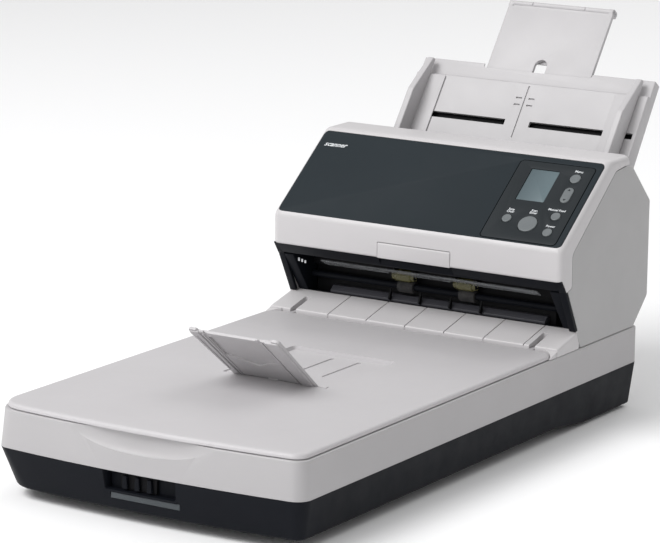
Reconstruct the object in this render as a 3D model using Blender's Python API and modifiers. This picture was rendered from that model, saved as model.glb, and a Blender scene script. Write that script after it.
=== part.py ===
"""A flatbed and sheet fed document scanner, built as separate pieces for Blender 4.5.

Lengths below are millimetres in the scanner's own layout: x to the right, y back from the middle of
the front edge, z up from the desk. The frame empty then puts the middle of the whole depth at y = 0.
"""

import math

import bmesh
import bpy
from mathutils import Matrix, Vector

MM = 0.001
GAP = 0.3

# The base
HALF_WIDTH = 150.0
BASE_DEPTH = 561.0
FRONT_BOW = 8.0
CORNER = 13.0
REAR_CORNER = 8.0
TOP_LEFT_CORNER = 24.0
TRAY_LEFT_CORNER = 36.0
DRAFT = 5.3
TRAY_FRONT_Z = 9.2
TRAY_REAR_Z = 2.8
SEAM_Z = 42.0
CASE_TOP = 75.0
WALL = 3.0

# The platen and the document cover
GLASS_HALF = 112.0
GLASS_FRONT = 38.0
GLASS_REAR = 350.0
GLASS_TOP = 72.1
COVER_UNDER = 75.6
COVER_TOP = 80.0
COVER_REAR = 409.2
COVER_HALF = 148.0
COVER_PIVOT = (431.0, 79.5)
HINGE_X = 124.0
PIN_R = 2.0

# The output stopper
STOPPER_PIVOT = (197.5, 78.6)
STOPPER_LENGTH = 84.0
STOPPER_LEAN = 38.5
STOPPER_THICK = 2.6

# The feeder
SIDE_OUT = 149.3
SIDE_IN = 143.5
DECK_FRONT = (410.6, 82.4)
DECK_REAR = (449.6, 91.7)
MOUTH_TOP = (416.0, 141.0)
MOUTH_BOTTOM = (450.0, 92.0)
NOSE_Y = 415.0
SLOPE_START = (415.0, 168.5)
SLOPE_END = (502.0, 234.4)
RIDGE_REAR = 536.0
SKIN = 3.5
TOP_PIVOT = (537.0, 225.0)
FASCIA_HALF = 146.0

# The paper path, seen from the side: the middle plane of a sheet, and the rollers' radii
PATH = [(456.0, 111.8), (500.0, 132.0), (535.0, 157.0), (552.0, 180.0)]
EJECT_R = 6.0
IDLER_R = 5.5
FEED_R = 8.0
PICK_R = 10.0
BRAKE_R = 9.0
SHAFT_R = 3.0
TYRE_X = 32.0

# The paper chute, in its own plane: s up the slope from the top edge, h out of the paper surface
CHUTE_TOP = (637.1, 282.9)
CHUTE_SLOPE = 53.57
CHUTE_HALF = 125.0
CHUTE_FOOT = -133.0
LEDGE_S = -18.0
SURFACE_H = 7.0
GUIDE_IN = 107.0
GUIDE_OUT = 113.5
PINION_S = -60.0
PINION_R = 8.0
PINION_TEETH = 12
EXTENSION_TOP = 67.4
FLAP_PIVOT = (66.5, -5.3)

DEPTH_FRONT = 0.5
DEPTH_REAR = 683.707
MID_Y = (DEPTH_FRONT + DEPTH_REAR) / 2

# Each round button: its middle (x, distance up the slope) and its radius; the scroll key is an oval
BUTTONS = {
    "button_menu": (125.0, 83.0, 5.2),
    "button_stop": (81.2, 28.8, 4.6),
    "button_scan": (103.7, 25.2, 9.0),
    "button_manual": (126.0, 37.6, 4.6),
    "button_power": (126.3, 18.6, 4.6),
}
SCROLL = (125.6, 63.0, 4.6, 9.0)

COLOURS = {
    "light_case": ((0.66, 0.65, 0.65), 0.5, 0.0),
    "dark_case": ((0.022, 0.025, 0.032), 0.45, 0.0),
    "fascia": ((0.032, 0.045, 0.056), 0.35, 0.0),
    "button": ((0.2, 0.21, 0.22), 0.5, 0.0),
    "display": ((0.13, 0.19, 0.22), 0.2, 0.0),
    "glass": ((0.7, 0.8, 0.8), 0.05, 0.0),
    "rubber": ((0.03, 0.03, 0.03), 0.8, 0.0),
    "idler": ((0.33, 0.3, 0.08), 0.35, 0.0),
    "steel": ((0.55, 0.55, 0.56), 0.3, 1.0),
    "inner": ((0.05, 0.05, 0.055), 0.6, 0.0),
    "grey_guide": ((0.2, 0.2, 0.21), 0.4, 0.0),
    "foam": ((0.8, 0.8, 0.78), 0.9, 0.0),
    "board": ((0.02, 0.14, 0.06), 0.5, 0.0),
}

# Each moving body: its parent body and a point on its joint's axis (x, y, z)
BODIES = {
    "root": (None, (0, 0, 0)),
    "document_cover": ("root", (0, *COVER_PIVOT)),
    "output_stopper": ("document_cover", (0, *STOPPER_PIVOT)),
    "feeder_top": ("root", (0, *TOP_PIVOT)),
    "release_tab": ("feeder_top", (0, 415.9, 152.5)),
    "button_menu": ("feeder_top", (0, 0, 0)),
    "button_scroll": ("feeder_top", (0, 0, 0)),
    "button_stop": ("feeder_top", (0, 0, 0)),
    "button_scan": ("feeder_top", (0, 0, 0)),
    "button_manual": ("feeder_top", (0, 0, 0)),
    "button_power": ("feeder_top", (0, 0, 0)),
    "eject_idler_left": ("feeder_top", (-TYRE_X, 453.65, 116.9)),
    "eject_idler_right": ("feeder_top", (TYRE_X, 453.65, 116.9)),
    "brake_roller": ("feeder_top", (0, 534.4, 171.8)),
    "eject_roller": ("root", (0, 458.6, 106.2)),
    "feed_roller": ("root", (0, 505.0, 124.5)),
    "pick_roller": ("root", (0, 549.9, 160.4)),
    "motor_pulley": ("root", (0, 525.0, 98.0)),
    "guide_left": ("root", (0, 0, 0)),
    "guide_right": ("root", (0, 0, 0)),
    "guide_pinion": ("root", (0, 0, 0)),
    "chute_extension": ("root", (0, 0, 0)),
    "extension_flap": ("chute_extension", (0, 0, 0)),
    "transport_lock": ("root", (0, 0, 0)),
    "scan_carriage": ("root", (0, 0, 0)),
    "carriage_pulley": ("root", (-85.0, 58.0, 42.0)),
    "rear_pulley": ("root", (-85.0, 390.0, 42.0)),
}


# ---------------------------------------------------------------- the scene


def clear_scene():
    for item in list(bpy.data.objects):
        bpy.data.objects.remove(item, do_unlink=True)


def make_materials():
    for name, (colour, roughness, metallic) in COLOURS.items():
        material = bpy.data.materials.new(name)
        material.use_nodes = True
        shader = material.node_tree.nodes["Principled BSDF"]
        shader.inputs["Base Color"].default_value = (*colour, 1.0)
        shader.inputs["Roughness"].default_value = roughness
        shader.inputs["Metallic"].default_value = metallic
        material.diffuse_color = (*colour, 1.0)


def make_bodies(parts):
    """One empty for each moving body, on its joint's axis."""
    frame = bpy.data.objects.new("scanner_frame", None)
    frame.location = (0, -MID_Y * MM, 0)
    parts.objects.link(frame)
    for name, (parent, pivot) in BODIES.items():
        pivot = body_pivot(name)
        empty = bpy.data.objects.new(name + "_body", None)
        parts.objects.link(empty)
        empty.parent = frame if parent is None else bpy.data.objects[parent + "_body"]
        origin = Vector((0, 0, 0)) if parent is None else body_pivot(parent)
        empty.location = (pivot - origin) * MM
    return frame


def chute_point(x, s, h):
    """A point of the chute's plane in the scanner's layout."""
    slope = math.radians(CHUTE_SLOPE)
    y = CHUTE_TOP[0] + s * math.cos(slope) - h * math.sin(slope)
    z = CHUTE_TOP[1] + s * math.sin(slope) + h * math.cos(slope)
    return Vector((x, y, z))


def body_pivot(name):
    if name == "guide_pinion":
        return chute_point(0, PINION_S, 2.6)
    if name == "extension_flap":
        return chute_point(0, *FLAP_PIVOT)
    return Vector(BODIES[name][1])


def chute_matrix():
    slope = math.radians(CHUTE_SLOPE)
    turn = Matrix.Rotation(slope, 4, "X")
    return Matrix.Translation(Vector((0, CHUTE_TOP[0], CHUTE_TOP[1]))) @ turn


def panel_matrix():
    """The fascia's plane: x across, y up the slope from its lower edge, z out of it."""
    rise = SLOPE_END[1] - SLOPE_START[1]
    run = SLOPE_END[0] - SLOPE_START[0]
    turn = Matrix.Rotation(math.atan2(rise, run), 4, "X")
    return Matrix.Translation(Vector((0, SLOPE_START[0], SLOPE_START[1]))) @ turn


# ---------------------------------------------------------------- meshes, in millimetres


def fillet(points, steps=4):
    """Rounds the corners of a closed outline. Each point is (a, b) or (a, b, radius)."""
    outline = []
    count = len(points)
    for i, point in enumerate(points):
        radius = point[2] if len(point) > 2 else 0
        here = Vector(point[:2])
        if radius == 0:
            outline.append(tuple(here))
            continue
        to_last = (Vector(points[i - 1][:2]) - here).normalized()
        to_next = (Vector(points[(i + 1) % count][:2]) - here).normalized()
        half = to_last.angle(to_next) / 2
        centre = here + (to_last + to_next).normalized() * radius / math.sin(half)
        start = here + to_last * radius / math.tan(half) - centre
        sweep = start.angle_signed(here + to_next * radius / math.tan(half) - centre)
        for k in range(steps + 1):
            angle = -sweep * k / steps
            turned = Matrix.Rotation(angle, 2) @ start
            outline.append(tuple(centre + turned))
    return outline


def circle(a, b, radius, count=16, start=0.0):
    turn = 2 * math.pi / count
    angles = [start + k * turn for k in range(count)]
    return [(a + radius * math.cos(angle), b + radius * math.sin(angle)) for angle in angles]


def mesh_from(bm, name):
    bmesh.ops.recalc_face_normals(bm, faces=bm.faces)
    mesh = bpy.data.meshes.new(name)
    bm.to_mesh(mesh)
    bm.free()
    return mesh


def prism(loops, low, high, axis="x", place=None):
    """An outline, with holes as further loops, pushed along an axis from low to high."""
    if not isinstance(loops[0], list):
        loops = [loops]
    curve = bpy.data.curves.new("outline", "CURVE")
    curve.dimensions = "2D"
    curve.fill_mode = "BOTH"
    curve.extrude = (high - low) / 2
    for loop in loops:
        spline = curve.splines.new("POLY")
        spline.points.add(len(loop) - 1)
        for point, (a, b) in zip(spline.points, loop):
            point.co = (a, b, 0, 1)
        spline.use_cyclic_u = True
    holder = bpy.data.objects.new("outline", curve)
    bpy.context.scene.collection.objects.link(holder)
    depsgraph = bpy.context.evaluated_depsgraph_get()
    mesh = bpy.data.meshes.new_from_object(holder.evaluated_get(depsgraph))
    bpy.data.objects.remove(holder, do_unlink=True)
    bm = bmesh.new()
    bm.from_mesh(mesh)
    bmesh.ops.remove_doubles(bm, verts=bm.verts, dist=0.001)
    turns = {
        "x": Matrix(((0, 0, 1), (1, 0, 0), (0, 1, 0))),
        "y": Matrix(((1, 0, 0), (0, 0, -1), (0, 1, 0))),
        "z": Matrix.Identity(3),
    }
    shift = Vector((0, 0, (low + high) / 2 if axis != "y" else -(low + high) / 2))
    bmesh.ops.transform(bm, matrix=turns[axis].to_4x4() @ Matrix.Translation(shift), verts=bm.verts)
    if place is not None:
        bmesh.ops.transform(bm, matrix=place, verts=bm.verts)
    return mesh_from(bm, "prism")


def box(low, high, place=None):
    bm = bmesh.new()
    bmesh.ops.create_cube(bm, size=1)
    low, high = Vector(low), Vector(high)
    size = high - low
    bmesh.ops.transform(bm, matrix=Matrix.Diagonal((*size, 1)), verts=bm.verts)
    bmesh.ops.translate(bm, vec=(low + high) / 2, verts=bm.verts)
    if place is not None:
        bmesh.ops.transform(bm, matrix=place, verts=bm.verts)
    return mesh_from(bm, "box")


def rod(start, end, radius, segments=16, end_radius=None, place=None):
    start, end = Vector(start), Vector(end)
    along = end - start
    bm = bmesh.new()
    bmesh.ops.create_cone(
        bm,
        cap_ends=True,
        segments=segments,
        radius1=radius,
        radius2=radius if end_radius is None else end_radius,
        depth=along.length,
    )
    turn = along.to_track_quat("Z", "Y").to_matrix().to_4x4()
    bmesh.ops.transform(bm, matrix=Matrix.Translation((start + end) / 2) @ turn, verts=bm.verts)
    if place is not None:
        bmesh.ops.transform(bm, matrix=place, verts=bm.verts)
    return mesh_from(bm, "rod")


def turned(profile, centre, segments=24, axis="X"):
    """A turned piece from its outer side, as (radius, distance along the axis) from top to bottom."""
    bm = bmesh.new()
    path = [(0.0, profile[0][1]), *profile, (0.0, profile[-1][1])]
    verts = [bm.verts.new((radius, 0, along)) for radius, along in path]
    for first, second in zip(verts, verts[1:]):
        bm.edges.new((first, second))
    mesh = bpy.data.meshes.new("profile")
    bm.to_mesh(mesh)
    bm.free()
    holder = bpy.data.objects.new("profile", mesh)
    bpy.context.scene.collection.objects.link(holder)
    screw = holder.modifiers.new("turn", "SCREW")
    screw.steps = screw.render_steps = segments
    screw.use_merge_vertices = True
    screw.merge_threshold = 0.0001
    depsgraph = bpy.context.evaluated_depsgraph_get()
    result = bpy.data.meshes.new_from_object(holder.evaluated_get(depsgraph))
    bpy.data.objects.remove(holder, do_unlink=True)
    bm = bmesh.new()
    bm.from_mesh(result)
    bmesh.ops.remove_doubles(bm, verts=bm.verts, dist=0.001)
    if axis == "X":
        bmesh.ops.rotate(bm, cent=(0, 0, 0), matrix=Matrix.Rotation(math.pi / 2, 3, "Y"), verts=bm.verts)
    bmesh.ops.translate(bm, vec=centre, verts=bm.verts)
    return mesh_from(bm, "turned")


def loft(lower, low_z, upper, high_z):
    """A closed wall between two outlines with the same number of points."""
    bm = bmesh.new()
    bottom = [bm.verts.new((a, b, low_z)) for a, b in lower]
    top = [bm.verts.new((a, b, high_z)) for a, b in upper]
    bm.faces.new(bottom[::-1])
    bm.faces.new(top)
    count = len(bottom)
    for i in range(count):
        j = (i + 1) % count
        bm.faces.new((bottom[i], bottom[j], top[j], top[i]))
    return mesh_from(bm, "loft")


# ---------------------------------------------------------------- objects


def link_piece(name, mesh, body):
    piece = bpy.data.objects.new(name, mesh)
    mesh.name = name
    mesh.transform(Matrix.Scale(MM, 4))
    piece.parent = bpy.data.objects[body + "_body"]
    piece.location = -body_pivot(body) * MM
    return piece


def add_part(name, mesh, material, body="root", bevel=0.0, segments=2, smooth=False):
    piece = link_piece(name, mesh, body)
    bpy.data.collections["document_scanner"].objects.link(piece)
    piece.data.materials.append(bpy.data.materials[material])
    if smooth:
        piece.data.shade_smooth()
        piece.data.set_sharp_from_angle(angle=math.radians(40))
    if bevel:
        soften = piece.modifiers.new("soft_edges", "BEVEL")
        soften.width = bevel * MM
        soften.segments = segments
        soften.limit_method = "ANGLE"
        soften.angle_limit = math.radians(50)
    return piece


def shape(piece, mesh, operation="DIFFERENCE"):
    """Cuts a piece with a mesh, or joins the mesh to it."""
    tool = link_piece(piece.name + "_tool", mesh, "root")
    tool.hide_render = True
    tool.display_type = "WIRE"
    bpy.data.collections["cutters"].objects.link(tool)
    change = piece.modifiers.new(operation.lower(), "BOOLEAN")
    change.operation = operation
    change.object = tool
    change.solver = "EXACT"
    return piece


def cut(piece, *meshes):
    for mesh in meshes:
        shape(piece, mesh, "DIFFERENCE")
    return piece


def join(piece, *meshes):
    for mesh in meshes:
        shape(piece, mesh, "UNION")
    return piece


# ---------------------------------------------------------------- the base


def plan(inset=0.0, left_corner=CORNER):
    """The base's outline from above: a bowed front edge and round corners."""
    half = HALF_WIDTH - inset
    left = left_corner - inset / 2
    bow = [(-1.0, left), (-0.6, 0), (-0.25, 0), (0.25, 0), (0.6, 0), (1.0, CORNER - inset / 2)]
    front = [(half * t, inset + FRONT_BOW * t * t, r) for t, r in bow]
    rear = BASE_DEPTH - inset
    back = [(half, rear, REAR_CORNER - inset / 2), (-half, rear, REAR_CORNER - inset / 2)]
    return fillet(front + back)


def build_base():
    shell = loft(plan(DRAFT, TRAY_LEFT_CORNER), TRAY_REAR_Z, plan(), SEAM_Z - GAP / 2)
    tray = add_part("base_tray", shell, "dark_case")
    under = [(-9, -9), (418, -9), (473, -9), (473, TRAY_REAR_Z), (418, TRAY_FRONT_Z), (-9, TRAY_FRONT_Z)]
    inside = loft(plan(DRAFT + WALL, TRAY_LEFT_CORNER), TRAY_FRONT_Z + WALL, plan(WALL), SEAM_Z + 5)
    cut(tray, prism(under, -170, 170), inside)
    pocket = box((-36.7, 2.5, 22), (34.7, 14, SEAM_Z - GAP / 2))
    join(tray, pocket, rod((-85, 58, 11), (-85, 58, 37.5), 3, 12))
    cut(tray, box((-34.5, -5, 26.2), (32.5, 10.5, 39.8)), box((-30.3, -5, 18.5), (37.3, 4.6, 24.0)))
    for low, high in port_holes():
        cut(tray, box(low, high))

    shell = loft(plan(), SEAM_Z + GAP / 2, plan(0.0, TOP_LEFT_CORNER), CASE_TOP)
    case = add_part("upper_case", shell, "light_case", bevel=0.8)
    hollow = [(-147, 17), (147, 17), (147, 558), (-147, 558)]
    cut(case, prism(fillet([(*p, 6) for p in hollow]), SEAM_Z - 5, 66, "z"))
    ledge = 4.0
    cut(
        case,
        box((-GLASS_HALF, GLASS_FRONT, 70), (GLASS_HALF, GLASS_REAR, 80)),
        box((ledge - GLASS_HALF, GLASS_FRONT + ledge, 60), (GLASS_HALF - ledge, GLASS_REAR - ledge, 71)),
        box((-100, 470, 60), (60, 540, 80)),
    )
    scoop = bmesh.new()
    bmesh.ops.create_uvsphere(scoop, u_segments=28, v_segments=14, radius=1)
    bmesh.ops.transform(scoop, matrix=Matrix.Diagonal((72, 7, 18, 1)), verts=scoop.verts)
    bmesh.ops.translate(scoop, vec=(0, -1.0, 76), verts=scoop.verts)
    cut(case, mesh_from(scoop, "scoop"))

    glass_low = (GAP - GLASS_HALF, GLASS_FRONT + GAP, 70 + GAP)
    add_part("platen_glass", box(glass_low, (GLASS_HALF - GAP, GLASS_REAR - GAP, GLASS_TOP)), "glass")

    fronts = {"front_left": (-118, 48), "front_right": (118, 48)}
    rears = {"rear_left": (-118, 505), "rear_right": (118, 505)}
    for place, (x, y) in {**fronts, **rears}.items():
        top = (TRAY_FRONT_Z if "front" in place else TRAY_REAR_Z) - GAP
        profile = [(9.0, -top), (10.5, -0.8), (9.7, 0.0)]
        foot = turned([(r, -a) for r, a in profile], (x, y, 0), 20, "Z")
        add_part("foot_" + place, foot, "rubber", smooth=True)


def port_holes():
    """Low and high corners of the rear wall's openings for the power and USB sockets."""
    return [((-112, 540, 18), (-98, 570, 32)), ((-80, 540, 18), (-66, 570, 31))]


def build_lock():
    add_part("lock_plate", box((-30, 3.1, 18.8), (37, 4.3, 23.7)), "grey_guide")
    slider = add_part("transport_lock", box((-23, 7.4, 26.6), (12, 10.0, 39.4)), "inner", "transport_lock")
    for x in (-19, -7, 5):
        join(slider, box((x - 2.6, 4.2, 27.4), (x + 2.6, 8.0, 38.6)))


def build_sockets():
    low, high = port_holes()[0]
    middle = ((low[0] + high[0]) / 2, (low[2] + high[2]) / 2)
    shell = box((low[0] + GAP, 543, low[2] + GAP), (high[0] - GAP, 557, high[2] - GAP))
    inlet = add_part("power_inlet", shell, "inner")
    cut(inlet, rod((middle[0], 546, middle[1]), (middle[0], 560, middle[1]), 4.2, 20))
    low, high = port_holes()[1]
    shell = box((low[0] + GAP, 541, low[2] + GAP), (high[0] - GAP, 557, high[2] - GAP))
    port = add_part("usb_port", shell, "steel")
    cut(port, box((low[0] + 1.6, 544, low[2] + 1.6), (high[0] - 1.6, 560, high[2] - 1.6)))
    join(port, box((low[0] + 5, 543, low[2] + 4), (high[0] - 5, 555, high[2] - 8)))


def build_flatbed():
    outline = fillet([(-104, 51, 3), (104, 51, 3), (104, 65), (-104, 65)])
    carriage = add_part("scan_carriage", prism(outline, 46, 70, "y"), "inner", "scan_carriage")
    boss = [fillet([(-66, 31, 4), (-50, 31, 4), (-50, 53), (-66, 53)]), circle(-58, 38, 3.2)]
    join(carriage, prism(boss, 46, 70, "y"))
    cut(carriage, box((-100, 54, 62), (100, 62, 70)))
    add_part("carriage_rod", rod((-58, 22, 38), (-58, 410, 38), 3.0), "steel", smooth=True)
    pulley = [(9.0, -3.6), (9.0, -2.8), (7.0, -2.8), (7.0, 2.8), (9.0, 2.8), (9.0, 3.6)]
    for name in ("carriage_pulley", "rear_pulley"):
        wheel = turned([(r, -a) for r, a in pulley], body_pivot(name), 20, "Z")
        add_part(name, wheel, "steel", name, smooth=True)
    front, rear = body_pivot("carriage_pulley"), body_pivot("rear_pulley")
    loop = belt_loops([(front.x, front.y, 7.0), (rear.x, rear.y, 7.0)])
    add_part("carriage_belt", prism(loop, 40, 44, "z"), "rubber")
    add_part("carriage_motor", rod((-85, 390, 12.6), (-85, 390, 37.5), 17, 24), "steel", smooth=True)
    add_part("main_board", box((10, 420, 17), (130, 535, 18.6)), "board")


def belt_loops(circles, gap=GAP, thick=1.3):
    """The two loops of a flat belt that runs outside a set of pulleys (x, y, radius)."""
    loops = []
    for extra in (gap + thick, gap):
        points = []
        for x, y, radius in circles:
            points += circle(x, y, radius + extra, 24)
        loops.append(hull(points))
    return loops


def hull(points):
    """The convex outline round some points, anticlockwise."""
    points = sorted(points)
    chains = []
    for order in (points, points[::-1]):
        chain = []
        for point in order:
            while len(chain) > 1 and turn_of(chain[-2], chain[-1], point) <= 1e-9:
                chain.pop()
            chain.append(point)
        chains += chain[:-1]
    return chains


def turn_of(a, b, c):
    return (b[0] - a[0]) * (c[1] - a[1]) - (b[1] - a[1]) * (c[0] - a[0])


# ---------------------------------------------------------------- the document cover


def build_cover():
    front = 1.2
    half = COVER_HALF
    bow = [(-1.0, TOP_LEFT_CORNER), (-0.6, 0), (-0.25, 0), (0.25, 0), (0.6, 0), (1.0, 12)]
    outline = [(half * t, front + FRONT_BOW * t * t, r) for t, r in bow]
    outline += [(half, COVER_REAR, 5), (-half, COVER_REAR, 5)]
    cover = add_part(
        "document_cover",
        prism(fillet(outline), COVER_UNDER, COVER_TOP, "z"),
        "light_case",
        "document_cover",
        bevel=1.2,
    )
    cut(cover, box((-52, 192.8, 76.9), (52, 303, 90)))
    for side in (-1, 1):
        x = HINGE_X * side
        knuckle = [(404, 76.2), (431, 76.2, 3.3), (434.4, 78), (434.4, 81, 2)]
        outline = fillet([*knuckle, (430, 82.9, 3), (424, 79.7), (404, 79.7)])
        arm = [outline, circle(*COVER_PIVOT, PIN_R + 0.2, 20)]
        join(cover, prism(arm, x - 2.5, x + 2.5))
    for side in (-1, 1):
        x = 46.5 * side
        join(cover, box((x - 3.4, 195.2, 76.5), (x + 3.4, 200.0, 79.9)))
        ends = sorted((x - 5 * side, x + 1.2 * side))
        cut(cover, rod((ends[0], *STOPPER_PIVOT), (ends[1], *STOPPER_PIVOT), 1.1, 12))
    pad = [(-109, 42, 2), (109, 42, 2), (109, 346, 2), (-109, 346, 2)]
    add_part("cover_pad", prism(fillet(pad), 72.5, COVER_UNDER - GAP, "z"), "foam", "document_cover")


def build_stopper():
    """A tapered plate between two wedge bars, leaning forward over the cover."""
    lean = math.radians(180 - STOPPER_LEAN)
    place = Matrix.Translation(Vector((0, *STOPPER_PIVOT))) @ Matrix.Rotation(lean, 4, "X")
    half = STOPPER_THICK / 2
    top, foot = 45.0, 40.5
    outline = [(-foot, -0.8), (foot, -0.8), (top, STOPPER_LENGTH, 5)]
    outline += [(36, STOPPER_LENGTH), (-36, STOPPER_LENGTH), (-top, STOPPER_LENGTH, 5)]
    plate = prism(fillet(outline), -half, half, "z", place)
    stopper = add_part("output_stopper", plate, "light_case", "output_stopper")
    panel = [(-27, 6, 3), (24, 6, 3), (24, 74, 3), (-27, 74, 3)]
    cut(stopper, prism(fillet(panel), 0.0, 5, "z", place))
    link = rod((-45, *STOPPER_PIVOT), (45, *STOPPER_PIVOT), 0.9, 12)
    join(stopper, link)


# ---------------------------------------------------------------- the feeder's body


def build_deck():
    low = CASE_TOP + GAP
    outline = [(DECK_FRONT[0], low), (*DECK_FRONT, 0.8), DECK_REAR, (DECK_REAR[0], low)]
    wedge = prism(fillet([(*p, 0)[:3] for p in outline], 2), -SIDE_OUT, SIDE_OUT)
    deck = add_part("exit_deck", wedge, "light_case")
    beside = [(443.9, 93), (452.6, 74), (470, 74), (470, 93)]
    for side in (-1, 1):
        ends = sorted((side * (SIDE_IN - GAP), side * 155))
        cut(deck, prism(beside, *ends))
        x = HINGE_X * side
        cut(deck, box((x - 3, 405, 70), (x + 3, 437, 100)))
        join(deck, rod((x - 4, *COVER_PIVOT), (x + 4, *COVER_PIVOT), PIN_R, 20))
    rise = (DECK_REAR[1] - DECK_FRONT[1]) / (DECK_REAR[0] - DECK_FRONT[0])
    slot = [(405, DECK_FRONT[1] - 1.2 - 5.6 * rise), (460, DECK_REAR[1] - 1.2 + 10.4 * rise)]
    slot += [(460, 110), (405, 110)]
    for k in range(6):
        x = -86.5 + 40.4 * k
        cut(deck, prism(slot, x - 0.7, x + 0.7))


def side_outline():
    return [
        (453.0, CASE_TOP + 0.8),
        (551.0, CASE_TOP + 0.8, 3),
        (576.5, 100.0, 4),
        (577.0, 187.0, 3),
        (543.0, 222.0, 3),
        (531.0, 224.9),
        (511.5, 222.9, 5),
        (435.1, 161.8, 8),
        (435.1, 132.2, 3),
        (424.6, 128.8),
        (444.3, 91.9),
    ]


def build_body_covers():
    for name, side in (("side_cover_left", -1), ("side_cover_right", 1)):
        ends = sorted((side * SIDE_IN, side * SIDE_OUT))
        cover = add_part(name, prism(fillet(side_outline(), 3), *ends), "light_case")
        tip = sorted((side * 134.5, side * 145))
        join(cover, rod((tip[0], *TOP_PIVOT), (tip[1], *TOP_PIVOT), 2.5, 16))
    shell = [(551.6, 75.8), (576.5, 99.8), (577.0, 183.5), (574.3, 183.5)]
    shell += [(573.6, 101.0), (550.5, 78.8), (547, 78.8), (547, 75.8)]
    add_part("rear_cover", prism(shell, GAP - SIDE_IN, SIDE_IN - GAP), "light_case")


def along_mouth(distance, inside=0.0):
    """A point on the mouth's plane, measured up from its lower edge, and into the feeder."""
    start, end = Vector(MOUTH_BOTTOM), Vector(MOUTH_TOP)
    up = (end - start).normalized()
    back = Vector((up.y, -up.x))
    spot = start + up * distance + back * inside
    return (spot.x, spot.y)


def build_mouth():
    low = CASE_TOP + 0.9
    sill = [(450.2, low), (450.2, 91.3), (454.6, 91.6), (454.6, low)]
    frame = add_part("exit_frame", prism(sill, GAP - SIDE_IN, SIDE_IN - GAP), "dark_case")
    cheek = [(450.2, low), (450.2, 91.6), along_mouth(44.5), along_mouth(44.5, 16), (466, 116), (466, low)]
    for side in (-1, 1):
        ends = sorted((side * 133, side * (SIDE_IN - GAP)))
        join(frame, prism(cheek, *ends))
    cut(frame, rod((-140, 458.6, 106.2), (140, 458.6, 106.2), SHAFT_R + 0.1, 20))
    strip = [(454.9, low), (454.9, 93.2), (459.8, 97.2), (464.0, 97.2), (464.0, low)]
    add_part("exit_guide", prism(strip, -112, 112), "grey_guide")


def path_offset(points, distance):
    """A line beside the paper path, away from the lower rollers when the distance is positive."""
    line = []
    for i, point in enumerate(points):
        before = Vector(points[max(i - 1, 0)])
        after = Vector(points[min(i + 1, len(points) - 1)])
        along = (after - before).normalized()
        side = Vector((-along.y, along.x))
        line.append(tuple(Vector(point) + side * distance))
    return line


def build_lower_unit():
    top = path_offset([(464.5, 115.7), *PATH[1:]], -1.2)
    outline = [*top, (562, 173), (562, 95), (542, CASE_TOP + 1), (464.5, CASE_TOP + 1)]
    left, right = -132.0, 118.0
    unit = add_part("lower_feed_unit", prism(outline, left, right), "inner")
    inner = [(469, 70), (469, 109), (501, 123), (531, 146), (558, 150), (558, 98), (538, 79), (538, 70)]
    cut(unit, prism(inner, left + 4, right - 4))
    for name, radius in (("feed_roller", FEED_R), ("pick_roller", PICK_R)):
        _, y, z = body_pivot(name)
        cut(unit, rod((-60, y, z), (60, y, z), radius + 1.0, 20))
        cut(unit, rod((-140, y, z), (140, y, z), SHAFT_R + 0.5, 16))
    _, y, z = body_pivot("motor_pulley")
    cut(unit, rod((100, y, z), (130, y, z), 2.6, 16))
    cut(unit, window(478.0, -3.4, 4.8))
    add_part("lower_sensor_glass", window(478.0, -3.3, -1.5, 103.7, 5.7), "glass")


def window(y, low, high, half=104.0, half_width=6.0):
    """A bar across the paper path, between two distances from it."""
    first, second = Vector(PATH[0]), Vector(PATH[1])
    along = (second - first).normalized()
    point = first + along * ((y - first.x) / along.x)
    side = Vector((-along.y, along.x))
    corners = [(-half_width, low), (half_width, low), (half_width, high), (-half_width, high)]
    return prism([tuple(point + along * a + side * b) for a, b in corners], -half, half)


def roller(radius, tyre_half, shaft_ends, pulleys):
    """A shaft with two rubber tyres and its belt pulleys, as a profile along x."""
    left, right = shaft_ends
    profile = [(SHAFT_R, left)]
    for centre in (-TYRE_X, TYRE_X):
        ends = ((-tyre_half, SHAFT_R), (-tyre_half, radius), (tyre_half, radius), (tyre_half, SHAFT_R))
        for at, r in ends:
            profile.append((r, centre + at))
    for start, r in pulleys:
        profile += [(SHAFT_R, start), (r, start), (r, start + 5), (SHAFT_R, start + 5)]
    profile.append((SHAFT_R, right))
    return profile


def build_drive():
    lanes = {"pick": 120.0, "feed": 126.5}
    rollers = {
        "eject_roller": (EJECT_R, 8, [(lanes["feed"], 6.0)]),
        "feed_roller": (FEED_R, 18, [(lanes["pick"], 7.0), (lanes["feed"], 7.5)]),
        "pick_roller": (PICK_R, 18, [(lanes["pick"], 7.5)]),
    }
    for name, (radius, tyre_half, pulleys) in rollers.items():
        centre = body_pivot(name)
        profile = roller(radius, tyre_half, (-138.5, 138.5 if name == "eject_roller" else 132.6), pulleys)
        add_part(name, turned(profile, centre, 20), "rubber", name, smooth=True)
    _, y, z = body_pivot("motor_pulley")
    profile = [(2.0, 112.5), (2.0, 126.5), (5.0, 126.5), (5.0, 131.5), (2.0, 131.5), (2.0, 133)]
    add_part("motor_pulley", turned(profile, (0, y, z), 16), "steel", "motor_pulley", smooth=True)
    add_part("feed_motor", rod((84, y, z), (112.2, y, z), 14, 24), "steel", smooth=True)
    wheels = (("motor_pulley", 5.0), ("eject_roller", 6.0), ("feed_roller", 7.5))
    feed = [(*body_pivot(name)[1:], radius) for name, radius in wheels]
    pick = [(*body_pivot(n)[1:], r) for n, r in (("feed_roller", 7.0), ("pick_roller", 7.5))]
    for name, circles in (("feed_belt", feed), ("pick_belt", pick)):
        lane = lanes["feed" if name == "feed_belt" else "pick"]
        add_part(name, prism(belt_loops(circles, 0.2, 1.2), lane + 0.4, lane + 4.6), "rubber")


# ---------------------------------------------------------------- the feeder's hinged top


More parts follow.
